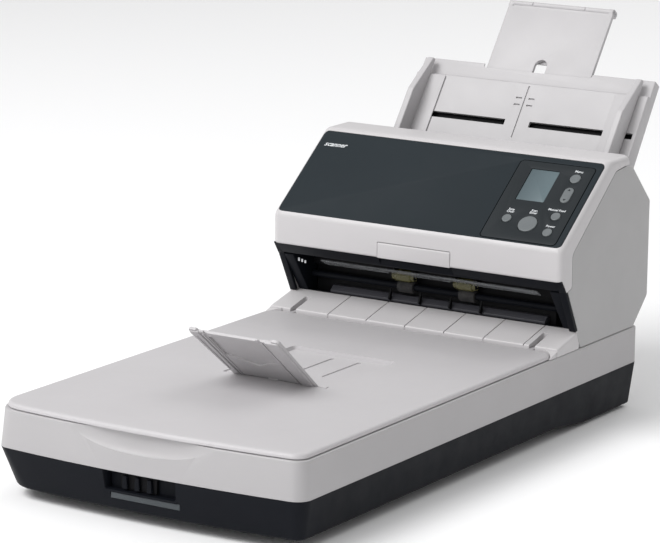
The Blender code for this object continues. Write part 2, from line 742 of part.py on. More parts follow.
def cover_profile(inset):
    """The front cover's outline from the side, moved inwards by an inset."""
    rise = SLOPE_END[1] - SLOPE_START[1]
    run = SLOPE_END[0] - SLOPE_START[0]
    half_turn = math.atan2(rise, run) / 2
    low_turn = (math.pi / 2 - 2 * half_turn) / 2
    start = (SLOPE_START[0] + inset, SLOPE_START[1] - inset * math.tan(low_turn))
    end = (SLOPE_END[0] + inset * math.tan(half_turn), SLOPE_END[1] - inset)
    return start, end


def build_front_cover():
    seam = [(536.0, 225.9), (529.5, 225.6), (511.2, 223.6, 5)]
    seam += [(434.5, 162.2, 8), (434.5, 132.5, 3), (424.9, 129.6)]
    start, end = cover_profile(0)
    outline = [(NOSE_Y, 141.2, 1.5), (*start, 7), (*end, 9), (RIDGE_REAR, SLOPE_END[1], 3), *seam]
    skin = prism(fillet(outline[::-1], 4), -SIDE_OUT, SIDE_OUT)
    cover = add_part("front_cover", skin, "light_case", "feeder_top")
    start, end = cover_profile(SKIN)
    inner = [(NOSE_Y + SKIN, 120), (*start, 4), (*end, 6)]
    inner += [(RIDGE_REAR - 2.5, SLOPE_END[1] - SKIN), (RIDGE_REAR - 2.5, 215)]
    inner += [(560, 200), (470, 150), (440, 120)]
    cut(cover, prism(fillet(inner[::-1], 3), -SIDE_IN + GAP, SIDE_IN - GAP))
    cut(cover, box((-37.9, 410, 130), (37.9, 420, 154.3)), box((-146, 528, 214), (146, 540, 231.3)))
    place = panel_matrix()
    recess = [(-FASCIA_HALF, 2.6, 5), (FASCIA_HALF, 2.6, 5)]
    recess += [(FASCIA_HALF, 104.6, 5), (-FASCIA_HALF, 104.6, 5)]
    cut(cover, prism(fillet(recess), -1.9, 8, "z", place))
    cut(cover, box((68, 12, -9), (136, 90, 5), place))

    rim = 0.35
    plate = [(-FASCIA_HALF + rim, 2.6 + rim, 4.7), (FASCIA_HALF - rim, 2.6 + rim, 4.7)]
    plate += [(FASCIA_HALF - rim, 104.6 - rim, 4.7), (-FASCIA_HALF + rim, 104.6 - rim, 4.7)]
    hole = [(64.0, 4.6, 4), (140.0, 4.6, 4), (140.0, 98.2, 4), (64.0, 98.2, 4)]
    loops = [fillet(plate), fillet(hole)]
    add_part("fascia_panel", prism(loops, -1.5, -0.1, "z", place), "fascia", "feeder_top")


def oval(x, y, half_width, half_height, steps=5):
    corners = [(x - half_width, y - half_height), (x + half_width, y - half_height)]
    corners += [(x + half_width, y + half_height), (x - half_width, y + half_height)]
    return fillet([(*c, half_width * 0.98) for c in corners], steps)


def build_operator_panel():
    place = panel_matrix()
    rim = 0.4
    corners = [(64 + rim, 4.6 + rim, 4), (140 - rim, 4.6 + rim, 4)]
    outline = fillet([*corners, (140 - rim, 98.2 - rim, 4), (64 + rim, 98.2 - rim, 4)])
    holes = [circle(x, y, r + 0.35, 20) for x, y, r in BUTTONS.values()]
    holes.append(oval(SCROLL[0], SCROLL[1], SCROLL[2] + 0.35, SCROLL[3] + 0.35))
    display = [(79, 52), (107, 52), (107, 89), (79, 89)]
    panel = prism([outline, *holes, display], -1.5, 0.0, "z", place)
    add_part("operator_panel", panel, "fascia", "feeder_top")
    glass = box((79 + GAP, 52 + GAP, -1.5), (107 - GAP, 89 - GAP, -0.3), place)
    add_part("display_window", glass, "display", "feeder_top")
    for name, (x, y, radius) in BUTTONS.items():
        cap = rod((x, y, -4.2), (x, y, 0.8), radius, 20, radius - 0.15, place)
        add_part(name, cap, "button", name, smooth=True)
    cap = prism(oval(*SCROLL), -4.2, 0.8, "z", place)
    add_part("button_scroll", cap, "button", "button_scroll")


def build_upper_guide():
    bottom = path_offset([(459.5, 113.4), *PATH[1:3], (547.5, 177.0)], 2.0)
    top = [(546.0, 188), (532.5, 216), (500, 216), (436, 168), (424.5, 150), (421.0, 143)]
    front = [along_mouth(46.6, 1.0), along_mouth(42.5, 9.0), (446.5, 125.0), (458.0, 124.0)]
    guide = add_part("upper_guide", prism(front + bottom + top, -141, 141), "dark_case", "feeder_top")
    above_cheek = [along_mouth(45.8, -3), along_mouth(45.8, 17.5), (468, 120), (468, 100), (418, 100)]
    belt_room = path_offset([(459.5, 113.4), *PATH[1:]], 5.5) + [(575, 180), (575, 90), (459.5, 90)]
    cut(guide, prism(above_cheek, -145, -132.6), prism(above_cheek, 132.6, 145))
    cut(guide, prism(belt_room, 119, 132.4))
    cut(guide, prism([(420, 136), (447, 160), (500, 200), (500, 160), (462, 134), (433, 133)], 90, 138))
    for side in (-1, 1):
        ends = sorted((side * 132, side * 145))
        cut(guide, prism([(517, 160), (560, 160), (560, 240), (517, 240)], *ends))
    outline = fillet([(515, 204), (544.5, 204, 3), (544.5, 231, 5), (530, 231, 5), (515, 214)])
    ear = [outline, circle(*TOP_PIVOT, 2.8, 20)]
    for side in (-1, 1):
        ends = sorted((side * 134.6, side * 141))
        join(guide, prism(ear, *ends))
        join(guide, box((min(ends), 505, 188), (max(ends), 519, 212)))
    cut(guide, rod((-18, 534.4, 171.8), (18, 534.4, 171.8), BRAKE_R + 1, 24))
    cut(guide, rod((-26, 534.4, 171.8), (26, 534.4, 171.8), 2.1, 16))
    cut(guide, prism([(520, 140), (560, 140), (560, 176), (541, 176)], -17.6, 17.6))
    for side in (-1, 1):
        x = TYRE_X * side
        for edge in (-1, 1):
            inner = x + edge * 8.9
            ends = sorted((inner, inner + edge * 3))
            bracket = [(450.3, 128), (450.3, 114.2), (457, 114.2), (461, 118), (461, 128)]
            join(guide, prism(bracket, *ends))
        cut(guide, rod((x - 13, 453.65, 116.9), (x + 13, 453.65, 116.9), 1.6, 12))
        cut(guide, rod((x - 8.6, 453.65, 116.9), (x + 8.6, 453.65, 116.9), IDLER_R + 0.8, 20))
    cut(guide, window(486.0, -4.0, 10.0))
    add_part("upper_sensor_glass", window(486.0, 2.4, 4.2, 103.7, 5.7), "glass", "feeder_top")
    strip = [(437.2, 124.2), (438.6, 124.9), (447.6, 119.7), (446.8, 118.4)]
    clear = add_part("clear_guide", prism(strip, -112, 112), "glass", "feeder_top")
    for side in (-1, 1):
        cut(clear, box((side * TYRE_X - 12.4, 443.8, 110), (side * TYRE_X + 12.4, 452, 130)))

    for side, name in ((-1, "eject_idler_left"), (1, "eject_idler_right")):
        profile = [(1.5, -12), (1.5, -8), (IDLER_R, -8), (IDLER_R, 8), (1.5, 8), (1.5, 12)]
        add_part(name, turned(profile, body_pivot(name), 24), "idler", name, smooth=True)
    profile = [(2.0, -25), (2.0, -16), (BRAKE_R, -16), (BRAKE_R, 16), (2.0, 16), (2.0, 25)]
    roller = turned(profile, body_pivot("brake_roller"), 24)
    add_part("brake_roller", roller, "rubber", "brake_roller", smooth=True)


def build_release_tab():
    outline = [(414.7, 139.6, 0.8), (417.0, 139.6), (417.0, 147)]
    outline += [(417.2, 152.5), (416.8, 153.5), (415.9, 153.8)]
    outline += [(415.0, 153.5), (414.6, 152.5)]
    tab = prism(fillet(outline), -37.4, 37.4)
    add_part("release_tab", tab, "light_case", "release_tab")


# ---------------------------------------------------------------- the paper chute


def build_chute():
    place = chute_matrix()
    side = [(CHUTE_FOOT, -8), (CHUTE_FOOT, SURFACE_H), (LEDGE_S, SURFACE_H, 1)]
    side += [(LEDGE_S + 0.6, 2.4), (0, 2.4, 1), (0, -8)]
    plate = prism(fillet(side, 2), -CHUTE_HALF, CHUTE_HALF, "x", place)
    chute = add_part("paper_chute", plate, "light_case")
    inner = [(CHUTE_FOOT - 5, -20), (CHUTE_FOOT - 5, 4.5), (LEDGE_S - 2, 4.5)]
    inner += [(LEDGE_S - 1.9, 0.9), (5, 0.9), (5, -20)]
    cut(chute, prism(inner, 2.5 - CHUTE_HALF, CHUTE_HALF - 2.5, "x", place))
    cut(chute, box((-60, -4.5, 0), (60, 5, 9), place))
    for edge in (-1, 1):
        ends = sorted((13 * edge, 121.5 * edge))
        cut(chute, box((ends[0], -63, 0), (ends[1], -57, 9), place))
    post = (0, PINION_S)
    join(chute, rod((*post, 5.5), (*post, 1.1), 2.0, 12, place=place))


def rack():
    """The right side guide's rack from above: a bar beside the pinion, with an arm out to its fin."""
    pitch = 2 * math.pi * PINION_R / PINION_TEETH
    near = PINION_R - 0.7
    line = PINION_R + 1.2
    points = []
    for k in range(22, -2, -1):
        middle = -(k + 0.5) * pitch
        for across, up in ((-0.27, line), (-0.15, near), (0.15, near), (0.27, line)):
            points.append((middle + across * pitch, up))
    end = points[-1][0] + 0.6
    points += [(end, line), (end, line + 4), (-104, line + 4), (-104, -2.3), (-97, -2.3), (-97, line)]
    return [(-x, PINION_S - s) for x, s in points]


def build_guides():
    place = chute_matrix()
    for name, edge in (("side_guide_left", -1), ("side_guide_right", 1)):
        body = name.replace("side_", "")
        fin = [(-4, 7.4), (-4, 12, 2), (-45, 26.5, 6), (-100, 26.5), (-100, 7.4)]
        ends = sorted((GUIDE_IN * edge, GUIDE_OUT * edge))
        middle = Vector((0, PINION_S, 0))
        half_turn = Matrix.Rotation(math.pi if edge < 0 else 0, 4, "Z")
        about = Matrix.Translation(middle) @ half_turn @ Matrix.Translation(-middle)
        guide = add_part(name, prism(rack(), 1.1, 4.1, "z", place @ about), "light_case", body)
        foot = sorted((90 * edge, (GUIDE_IN + 1) * edge))
        stem = sorted((97.5 * edge, 103.5 * edge))
        join(guide, box((stem[0], -62.0, 2.0), (stem[1], -58.0, 8), place))
        join(guide, box((foot[0], -99, 7.3), (foot[1], -20, 8.5), place))
        join(guide, prism(fillet(fin), *ends, "x", place))
    pitch = 2 * math.pi / PINION_TEETH
    teeth = []
    for k in range(PINION_TEETH):
        middle = math.pi / 2 - k * pitch
        for across, reach in ((0.23, -1.2), (0.13, 0.8), (-0.13, 0.8), (-0.23, -1.2)):
            angle = middle + across * pitch
            radius = PINION_R + reach
            teeth.append((radius * math.cos(angle), PINION_S + radius * math.sin(angle)))
    pinion = prism([teeth, circle(0, PINION_S, 2.1, 16)], 1.1, 4.1, "z", place)
    add_part("guide_pinion", pinion, "grey_guide", "guide_pinion")


def build_extension():
    place = chute_matrix()
    lip = circle(EXTENSION_TOP, -1.25, 2.6, 16, math.radians(-140))
    section = [(-66, -3.0), *lip[:12], (EXTENSION_TOP - 3.4, 0.5), (-66, 0.5)]
    tab = prism(section, -50.8, 50.8, "x", place)
    plate = add_part("chute_extension", tab, "light_case", "chute_extension")
    s, h = FLAP_PIVOT
    ear = [(-66, -3.0), (s - 4.5, -3.0), (s - 3, h - 1.9, 1), (s + 3.2, h - 1.9, 1.5)]
    ear += [(EXTENSION_TOP + 2.5, -2), (EXTENSION_TOP + 2.5, 1.2, 1.5)]
    ear += [(EXTENSION_TOP - 3.4, 1.3), (EXTENSION_TOP - 4.6, 0.5), (-66, 0.5)]
    for edge in (-1, 1):
        ends = sorted((50.6 * edge, 55.2 * edge))
        join(plate, prism(fillet(ear), *ends, "x", place))
    arch = [(-10, -6.6), (-10, 6.6), (7.0, 6.6, 5), (11.8, 0, 5), (7.0, -6.6, 5)]
    outline = fillet([(x, y, *r) for y, x, *r in arch])
    cut(plate, prism(outline, -5, 5, "z", place))
    leaf = [(8, h - 1.1), (s - 1.5, h - 1.1), (s + 0.5, h - 1.7, 1)]
    leaf = fillet([*leaf, (s + 1.9, h, 1), (s + 0.5, h + 1.4, 1), (8, h + 1.1)])
    flap = prism([leaf, circle(s, h, 1.0, 12)], -50.2, 50.2, "x", place)
    add_part("extension_flap", flap, "light_case", "extension_flap")
    join(plate, rod((-53, s, h), (53, s, h), 0.8, 12, place=place))


def main():
    clear_scene()
    scene = bpy.context.scene
    for name in ("document_scanner", "cutters"):
        scene.collection.children.link(bpy.data.collections.new(name))
    make_materials()
    make_bodies(bpy.data.collections["document_scanner"])
    build_base()
    build_lock()
    build_sockets()
    build_flatbed()
    build_cover()
    build_stopper()
    build_deck()
    build_body_covers()
    build_mouth()
    build_lower_unit()
    build_drive()
    build_front_cover()
    build_operator_panel()
    build_upper_guide()
    build_release_tab()
    build_chute()
    build_guides()
    build_extension()


main()
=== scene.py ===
import math

import bmesh
import bpy
from mathutils import Matrix, Vector


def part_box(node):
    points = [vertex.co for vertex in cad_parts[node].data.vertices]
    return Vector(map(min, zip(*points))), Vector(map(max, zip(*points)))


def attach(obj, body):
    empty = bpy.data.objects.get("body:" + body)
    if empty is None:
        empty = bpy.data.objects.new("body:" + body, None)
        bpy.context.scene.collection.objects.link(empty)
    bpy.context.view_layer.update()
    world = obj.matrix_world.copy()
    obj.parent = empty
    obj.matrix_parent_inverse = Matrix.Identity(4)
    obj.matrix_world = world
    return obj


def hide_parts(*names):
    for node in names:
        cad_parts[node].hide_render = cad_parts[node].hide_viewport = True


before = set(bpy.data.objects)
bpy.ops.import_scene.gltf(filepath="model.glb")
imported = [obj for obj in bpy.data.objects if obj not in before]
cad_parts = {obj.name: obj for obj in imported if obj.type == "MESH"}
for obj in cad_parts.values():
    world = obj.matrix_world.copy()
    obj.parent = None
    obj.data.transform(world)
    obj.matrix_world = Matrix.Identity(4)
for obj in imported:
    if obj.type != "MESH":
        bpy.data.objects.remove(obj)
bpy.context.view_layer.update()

mm = 0.001
body = "scanner_body"
top = "feeder_top"

# the scanner's own layout: millimetres, y counted back from the middle of the front edge, z from the desk
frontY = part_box("upper_case")[0][1] - 0.5 * mm
layout = Matrix.Translation((0, frontY, 0)) @ Matrix.Scale(mm, 4)


def boxOf(node):
    low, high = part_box(node)
    back = layout.inverted()
    return back @ Vector(low), back @ Vector(high)


# meshes, in millimetres of the layout

def meshFrom(bm, name="piece"):
    bmesh.ops.remove_doubles(bm, verts=bm.verts, dist=0.0005)
    bmesh.ops.recalc_face_normals(bm, faces=bm.faces)
    mesh = bpy.data.meshes.new(name)
    bm.to_mesh(mesh)
    bm.free()
    return mesh


def rounded(points, steps=6):
    # a closed outline whose (a, b, radius) corners become arcs
    outline = []
    for i, point in enumerate(points):
        radius = point[2] if len(point) > 2 else 0
        here = Vector(point[:2])
        if radius <= 0:
            outline.append(tuple(here))
            continue
        toLast = (Vector(points[i - 1][:2]) - here).normalized()
        toNext = (Vector(points[(i + 1) % len(points)][:2]) - here).normalized()
        half = toLast.angle(toNext) / 2
        centre = here + (toLast + toNext).normalized() * radius / math.sin(half)
        start = here + toLast * radius / math.tan(half) - centre
        sweep = start.angle_signed(here + toNext * radius / math.tan(half) - centre)
        for k in range(steps + 1):
            outline.append(tuple(centre + Matrix.Rotation(-sweep * k / steps, 2) @ start))
    return outline


def rectangle(left, right, low, high, radius=0.0, steps=6):
    corners = ((left, low), (right, low), (right, high), (left, high))
    return rounded([(a, b, radius) for a, b in corners], steps)


def circle(a, b, radius, count=32):
    turn = 2 * math.pi / count
    return [(a + radius * math.cos(k * turn), b + radius * math.sin(k * turn)) for k in range(count)]


axisTurns = {
    "x": Matrix(((0, 0, 1), (1, 0, 0), (0, 1, 0))),
    "y": Matrix(((1, 0, 0), (0, 0, -1), (0, 1, 0))),
    "z": Matrix.Identity(3),
}


def prism(loops, low, high, axis="x", place=None):
    if not isinstance(loops[0], list):
        loops = [loops]
    curve = bpy.data.curves.new("outline", "CURVE")
    curve.dimensions = "2D"
    curve.fill_mode = "BOTH"
    curve.extrude = (high - low) / 2
    for loop in loops:
        spline = curve.splines.new("POLY")
        spline.points.add(len(loop) - 1)
        for point, (a, b) in zip(spline.points, loop):
            point.co = (a, b, 0, 1)
        spline.use_cyclic_u = True
    mesh = evaluated(bpy.data.objects.new("outline", curve))
    bm = bmesh.new()
    bm.from_mesh(mesh)
    bmesh.ops.remove_doubles(bm, verts=bm.verts, dist=0.0005)
    bmesh.ops.dissolve_limit(bm, angle_limit=0.001, verts=bm.verts, edges=bm.edges)
    middle = (low + high) / 2
    shift = Matrix.Translation((0, 0, -middle if axis == "y" else middle))
    bm.transform(axisTurns[axis].to_4x4() @ shift)
    if place is not None:
        bm.transform(place)
    return meshFrom(bm)


def block(low, high, place=None):
    bm = bmesh.new()
    bmesh.ops.create_cube(bm, size=1)
    low, high = Vector(low), Vector(high)
    bm.transform(Matrix.Translation((low + high) / 2) @ Matrix.Diagonal((*(high - low), 1)))
    if place is not None:
        bm.transform(place)
    return meshFrom(bm)


def rod(start, end, radius, segments=32, endRadius=None, place=None):
    start, end = Vector(start), Vector(end)
    along = end - start
    bm = bmesh.new()
    tip = radius if endRadius is None else endRadius
    bmesh.ops.create_cone(
        bm, cap_ends=True, segments=segments, radius1=radius, radius2=tip, depth=along.length
    )
    bm.transform(Matrix.Translation((start + end) / 2) @ along.to_track_quat("Z", "Y").to_matrix().to_4x4())
    if place is not None:
        bm.transform(place)
    return meshFrom(bm)


def stack(stations, axis="z", place=None):
    # a closed solid through outlines of the same number of points, each (outline, distance along the axis)
    bm = bmesh.new()
    turn = axisTurns[axis]
    sign = -1 if axis == "y" else 1
    rings = [[bm.verts.new(turn @ Vector((a, b, sign * at))) for a, b in outline] for outline, at in stations]
    bm.faces.new(rings[0][::-1])
    bm.faces.new(rings[-1])
    count = len(rings[0])
    for lower, upper in zip(rings, rings[1:]):
        for i in range(count):
            j = (i + 1) % count
            bm.faces.new((lower[i], lower[j], upper[j], upper[i]))
    if place is not None:
        bm.transform(place)
    return meshFrom(bm)


def spun(profile, centre, segments=48, axis="x", place=None):
    # a turned solid from its (radius, distance along the axis) profile
    rings = [(circle(0, 0, max(radius, 0.01), segments), at) for radius, at in profile]
    if axis == "x":
        rings = [([(b, a) for a, b in ring][::-1], at) for ring, at in rings]
    mesh = stack(rings, axis)
    mesh.transform(Matrix.Translation(centre))
    if place is not None:
        mesh.transform(place)
    return mesh


def softWheel(radius, low, high, edge, steps=4):
    # the profile of a wheel with round shoulders
    ends = []
    for k in range(steps + 1):
        angle = math.pi / 2 * k / steps
        ends.append((radius - edge + edge * math.sin(angle), edge * (1 - math.cos(angle))))
    return [(r, low + along) for r, along in ends] + [(r, high - along) for r, along in ends[::-1]]


def evaluated(holder, setUp=None):
    bpy.context.scene.collection.objects.link(holder)
    if setUp:
        setUp(holder)
    graph = bpy.context.evaluated_depsgraph_get()
    mesh = bpy.data.meshes.new_from_object(holder.evaluated_get(graph))
    bpy.data.objects.remove(holder, do_unlink=True)
    return mesh


def combined(mesh, tools, operation="DIFFERENCE"):
    helpers = []

    def setUp(holder):
        for tool in tools:
            helper = bpy.data.objects.new("helper", tool)
            bpy.context.scene.collection.objects.link(helper)
            helpers.append(helper)
            change = holder.modifiers.new("change", "BOOLEAN")
            change.operation = operation
            change.object = helper
            change.solver = "EXACT"

    mesh = evaluated(bpy.data.objects.new("holder", mesh), setUp)
    for helper in helpers:
        bpy.data.objects.remove(helper, do_unlink=True)
    return mesh


def cut(mesh, *tools):
    return combined(mesh, tools)


def join(mesh, *tools):
    return combined(mesh, tools, "UNION")


def softened(mesh, width, segments=3, angle=35):
    def setUp(holder):
        soften = holder.modifiers.new("soften", "BEVEL")
        soften.width = width
        soften.segments = segments
        soften.limit_method = "ANGLE"
        soften.angle_limit = math.radians(angle)
        soften.miter_outer = "MITER_ARC"

    return evaluated(bpy.data.objects.new("holder", mesh), setUp)


def nodeMesh(node):
    # a copy of a CAD node's mesh, its triangles merged into whole faces
    bm = bmesh.new()
    bm.from_mesh(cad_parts[node].data)
    bm.transform(layout.inverted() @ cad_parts[node].matrix_world)
    bmesh.ops.remove_doubles(bm, verts=bm.verts, dist=0.002)
    bmesh.ops.dissolve_limit(bm, angle_limit=math.radians(0.6), verts=bm.verts, edges=bm.edges)
    mesh = bpy.data.meshes.new(node)
    bm.to_mesh(mesh)
    bm.free()
    return mesh


def addPiece(name, mesh, look, rides, replaces=(), smooth=38):
    mesh.transform(layout)
    mesh.name = name
    piece = bpy.data.objects.new(name, mesh)
    bpy.context.scene.collection.objects.link(piece)
    mesh.materials.clear()
    mesh.materials.append(finish[look])
    for polygon in mesh.polygons:
        polygon.material_index = 0
    mesh.shade_smooth()
    mesh.set_sharp_from_angle(angle=math.radians(smooth))
    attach(piece, rides)
    if replaces:
        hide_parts(*replaces)
    return piece


def refine(node, look, rides, width=0.3, segments=3):
    # the CAD shape with its edges softened
    mesh = softened(nodeMesh(node), width, segments)
    return addPiece(node + "_finished", mesh, look, rides, [node])


# materials

def newMaterial(name):
    material = bpy.data.materials.new(name)
    material.use_nodes = True
    tree = material.node_tree
    place = addNode(tree, "ShaderNodeTexCoord").outputs["Object"]
    return material, tree, tree.nodes["Principled BSDF"], place


def addNode(tree, kind, **values):
    node = tree.nodes.new(kind)
    for key, value in values.items():
        if hasattr(node, key):
            setattr(node, key, value)
        else:
            node.inputs[key.replace("_", " ")].default_value = value
    return node


def noiseOn(tree, coordinates, size, detail=3.0, rough=0.5):
    # soft random patches of a size in metres
    noise = addNode(tree, "ShaderNodeTexNoise")
    noise.inputs["Scale"].default_value = 1 / size
    noise.inputs["Detail"].default_value = detail
    noise.inputs["Roughness"].default_value = rough
    tree.links.new(coordinates, noise.inputs["Vector"])
    return noise.outputs["Fac"]


def spread(tree, value, low, high, fromLow=0.3, fromHigh=0.7):
    remap = addNode(tree, "ShaderNodeMapRange")
    remap.inputs["From Min"].default_value = fromLow
    remap.inputs["From Max"].default_value = fromHigh
    remap.inputs["To Min"].default_value = low
    remap.inputs["To Max"].default_value = high
    tree.links.new(value, remap.inputs["Value"])
    return remap.outputs["Result"]


def blendColours(tree, factor, first, second):
    mix = addNode(tree, "ShaderNodeMix", data_type="RGBA")
    colours = [socket for socket in mix.inputs if socket.type == "RGBA"]
    colours[0].default_value = (*first, 1)
    colours[1].default_value = (*second, 1)
    tree.links.new(factor, mix.inputs["Factor"])
    return next(socket for socket in mix.outputs if socket.type == "RGBA")


def bumpOn(tree, shader, height, strength, distance):
    bump = addNode(tree, "ShaderNodeBump")
    bump.inputs["Strength"].default_value = strength
    bump.inputs["Distance"].default_value = distance
    tree.links.new(height, bump.inputs["Height"])
    tree.links.new(bump.outputs["Normal"], shader.inputs["Normal"])
    return bump


def mouldedPlastic(name, look):
    # spark-eroded mould grain, faint colour drift, and a sheen that changes where hands polish it
    material, tree, shader, place = newMaterial(name)
    drift = noiseOn(tree, place, look["driftSize"], 2)
    colour = Vector(look["colour"])
    tinted = blendColours(tree, spread(tree, drift, 0, 1), colour * (1 - look["drift"]),
                          colour * (1 + look["drift"]))
    tree.links.new(tinted, shader.inputs["Base Color"])
    polish = noiseOn(tree, place, look["driftSize"] * 0.35, 4, 0.6)
    rough = look["roughness"]
    tree.links.new(spread(tree, polish, rough - 0.05, rough + 0.06), shader.inputs["Roughness"])
    cells = addNode(tree, "ShaderNodeTexVoronoi", feature="SMOOTH_F1")
    cells.inputs["Scale"].default_value = 1 / look["grain"]
    tree.links.new(place, cells.inputs["Vector"])
    fine = noiseOn(tree, place, look["grain"] * 0.6, 4, 0.65)
    grain = addNode(tree, "ShaderNodeMath", operation="ADD")
    tree.links.new(cells.outputs["Distance"], grain.inputs[0])
    tree.links.new(fine, grain.inputs[1])
    bumpOn(tree, shader, grain.outputs[0], look["grainStrength"], look["grain"] * 0.1)
    shader.inputs["IOR"].default_value = 1.5
    shader.inputs["Specular IOR Level"].default_value = look.get("shine", 0.5)
    return material


# light, case, hood, side and cover are copies of one grey-white plastic, set apart by painted light and
# shade: hood is painted lighter, case and side are painted darker
plasticLooks = {
    "light": {"colour": (0.475, 0.463, 0.472), "roughness": 0.46, "grain": 0.0005, "grainStrength": 0.22,
              "drift": 0.018, "driftSize": 0.07},
    "case": {"colour": (0.405, 0.394, 0.401), "roughness": 0.46, "grain": 0.0005, "grainStrength": 0.22,
             "drift": 0.018, "driftSize": 0.08},
    "hood": {"colour": (0.535, 0.52, 0.528), "roughness": 0.44, "grain": 0.0005, "grainStrength": 0.2,
             "drift": 0.015, "driftSize": 0.08},
    "side": {"colour": (0.395, 0.39, 0.392), "roughness": 0.5, "grain": 0.0006, "grainStrength": 0.3,
             "drift": 0.02, "driftSize": 0.06},
    "cover": {"colour": (0.485, 0.471, 0.482), "roughness": 0.5, "grain": 0.0007, "grainStrength": 0.3,
              "drift": 0.015, "driftSize": 0.09},
    "dark": {"colour": (0.0062, 0.0072, 0.0102), "roughness": 0.46, "grain": 0.0006, "grainStrength": 0.35,
             "drift": 0.06, "driftSize": 0.06, "shine": 0.09},
    "fascia": {"colour": (0.0165, 0.0225, 0.027), "roughness": 0.52, "grain": 0.0003, "grainStrength": 0.1,
               "drift": 0.05, "driftSize": 0.12, "shine": 0.13},
    "panel": {"colour": (0.0165, 0.0205, 0.0235), "roughness": 0.45, "grain": 0.0003, "grainStrength": 0.1,
              "drift": 0.03, "driftSize": 0.08, "shine": 0.18},
    "button": {"colour": (0.135, 0.148, 0.154), "roughness": 0.4, "grain": 0.0004, "grainStrength": 0.12,
               "drift": 0.03, "driftSize": 0.02, "shine": 0.35},
    "inner": {"colour": (0.006, 0.006, 0.007), "roughness": 0.55, "grain": 0.0005, "grainStrength": 0.2,
              "drift": 0.05, "driftSize": 0.03, "shine": 0.12},
    "greyGuide": {"colour": (0.055, 0.055, 0.064), "roughness": 0.38, "grain": 0.0003, "grainStrength": 0.08,
                  "drift": 0.04, "driftSize": 0.03, "shine": 0.4},
    "mark": {"colour": (0.72, 0.74, 0.76), "roughness": 0.45, "grain": 0.0003, "grainStrength": 0.05,
             "drift": 0.02, "driftSize": 0.01},
    "tick": {"colour": (0.05, 0.05, 0.055), "roughness": 0.5, "grain": 0.0003, "grainStrength": 0.05,
             "drift": 0.03, "driftSize": 0.01},
}


def rubberFinish():
    material, tree, shader, place = newMaterial("feed_rubber")
    dust = spread(tree, noiseOn(tree, place, 0.006, 4), 0, 1)
    tree.links.new(blendColours(tree, dust, (0.018, 0.018, 0.019), (0.045, 0.043, 0.042)),
                   shader.inputs["Base Color"])
    tree.links.new(spread(tree, noiseOn(tree, place, 0.002, 4), 0.62, 0.85), shader.inputs["Roughness"])
    bumpOn(tree, shader, noiseOn(tree, place, 0.0004, 3), 0.3, 0.0001)
    return material


def steelFinish():
    # drawn steel: fine lines along x
    material, tree, shader, place = newMaterial("drawn_steel")
    stretch = addNode(tree, "ShaderNodeMapping")
    stretch.inputs["Scale"].default_value = (0.02, 1, 1)
    tree.links.new(place, stretch.inputs["Vector"])
    lines = noiseOn(tree, stretch.outputs["Vector"], 0.0004, 4)
    tree.links.new(blendColours(tree, spread(tree, lines, 0, 1), (0.42, 0.42, 0.43), (0.6, 0.6, 0.61)),
                   shader.inputs["Base Color"])
    tree.links.new(spread(tree, lines, 0.26, 0.42), shader.inputs["Roughness"])
    shader.inputs["Metallic"].default_value = 1.0
    bumpOn(tree, shader, lines, 0.12, 0.0001)
    return material


def clearFinish(name, look):
    material, tree, shader, place = newMaterial(name)
    shader.inputs["Base Color"].default_value = (*look["colour"], 1)
    shader.inputs["Transmission Weight"].default_value = look["clear"]
    shader.inputs["IOR"].default_value = 1.49
    tree.links.new(spread(tree, noiseOn(tree, place, 0.02, 4), look["rough"], look["rough"] + 0.06),
                   shader.inputs["Roughness"])
    bumpOn(tree, shader, noiseOn(tree, place, 0.004, 2), 0.04, 0.0001)
    return material


def displayFinish():
    # a liquid crystal display at rest: a cool grey that drifts lighter to the right, with a faint dot grid
    material, tree, shader, place = newMaterial("display_glass")
    split = addNode(tree, "ShaderNodeSeparateXYZ")
    tree.links.new(place, split.inputs["Vector"])
    low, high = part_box("display_window")
    drift = spread(tree, split.outputs["X"], 0, 1, low[0], high[0])
    tinted = blendColours(tree, drift, (0.075, 0.103, 0.115), (0.115, 0.155, 0.17))
    tree.links.new(tinted, shader.inputs["Base Color"])
    tree.links.new(spread(tree, noiseOn(tree, place, 0.01, 2), 0.34, 0.42), shader.inputs["Roughness"])
    shader.inputs["Specular IOR Level"].default_value = 0.3
    dots = addNode(tree, "ShaderNodeTexChecker")
    dots.inputs["Scale"].default_value = 1 / 0.0005
    tree.links.new(place, dots.inputs["Vector"])
    bumpOn(tree, shader, dots.outputs["Fac"], 0.03, 0.00002)
    return material


def padFinish():
    # white backing: a smooth film over foam, with a soft fibre grain
    material, tree, shader, place = newMaterial("pad_film")
    drift = spread(tree, noiseOn(tree, place, 0.04, 3), 0, 1)
    tree.links.new(blendColours(tree, drift, (0.72, 0.72, 0.71), (0.79, 0.79, 0.78)),
                   shader.inputs["Base Color"])
    tree.links.new(spread(tree, noiseOn(tree, place, 0.01, 3), 0.6, 0.75), shader.inputs["Roughness"])
    shader.inputs["Sheen Weight"].default_value = 0.15
    bumpOn(tree, shader, noiseOn(tree, place, 0.0012, 5, 0.7), 0.25, 0.0002)
    return material


def boardFinish():
    # solder mask with copper areas showing under it
    material, tree, shader, place = newMaterial("circuit_board")
    bricks = addNode(tree, "ShaderNodeTexBrick")
    bricks.inputs["Scale"].default_value = 1 / 0.02
    bricks.inputs["Color1"].default_value = (0.012, 0.1, 0.045, 1)
    bricks.inputs["Color2"].default_value = (0.018, 0.14, 0.06, 1)
    bricks.inputs["Mortar"].default_value = (0.03, 0.2, 0.08, 1)
    tree.links.new(place, bricks.inputs["Vector"])
    tree.links.new(bricks.outputs["Color"], shader.inputs["Base Color"])
    tree.links.new(spread(tree, noiseOn(tree, place, 0.005, 3), 0.3, 0.5), shader.inputs["Roughness"])
    bumpOn(tree, shader, bricks.outputs["Fac"], 0.2, 0.0001)
    return material


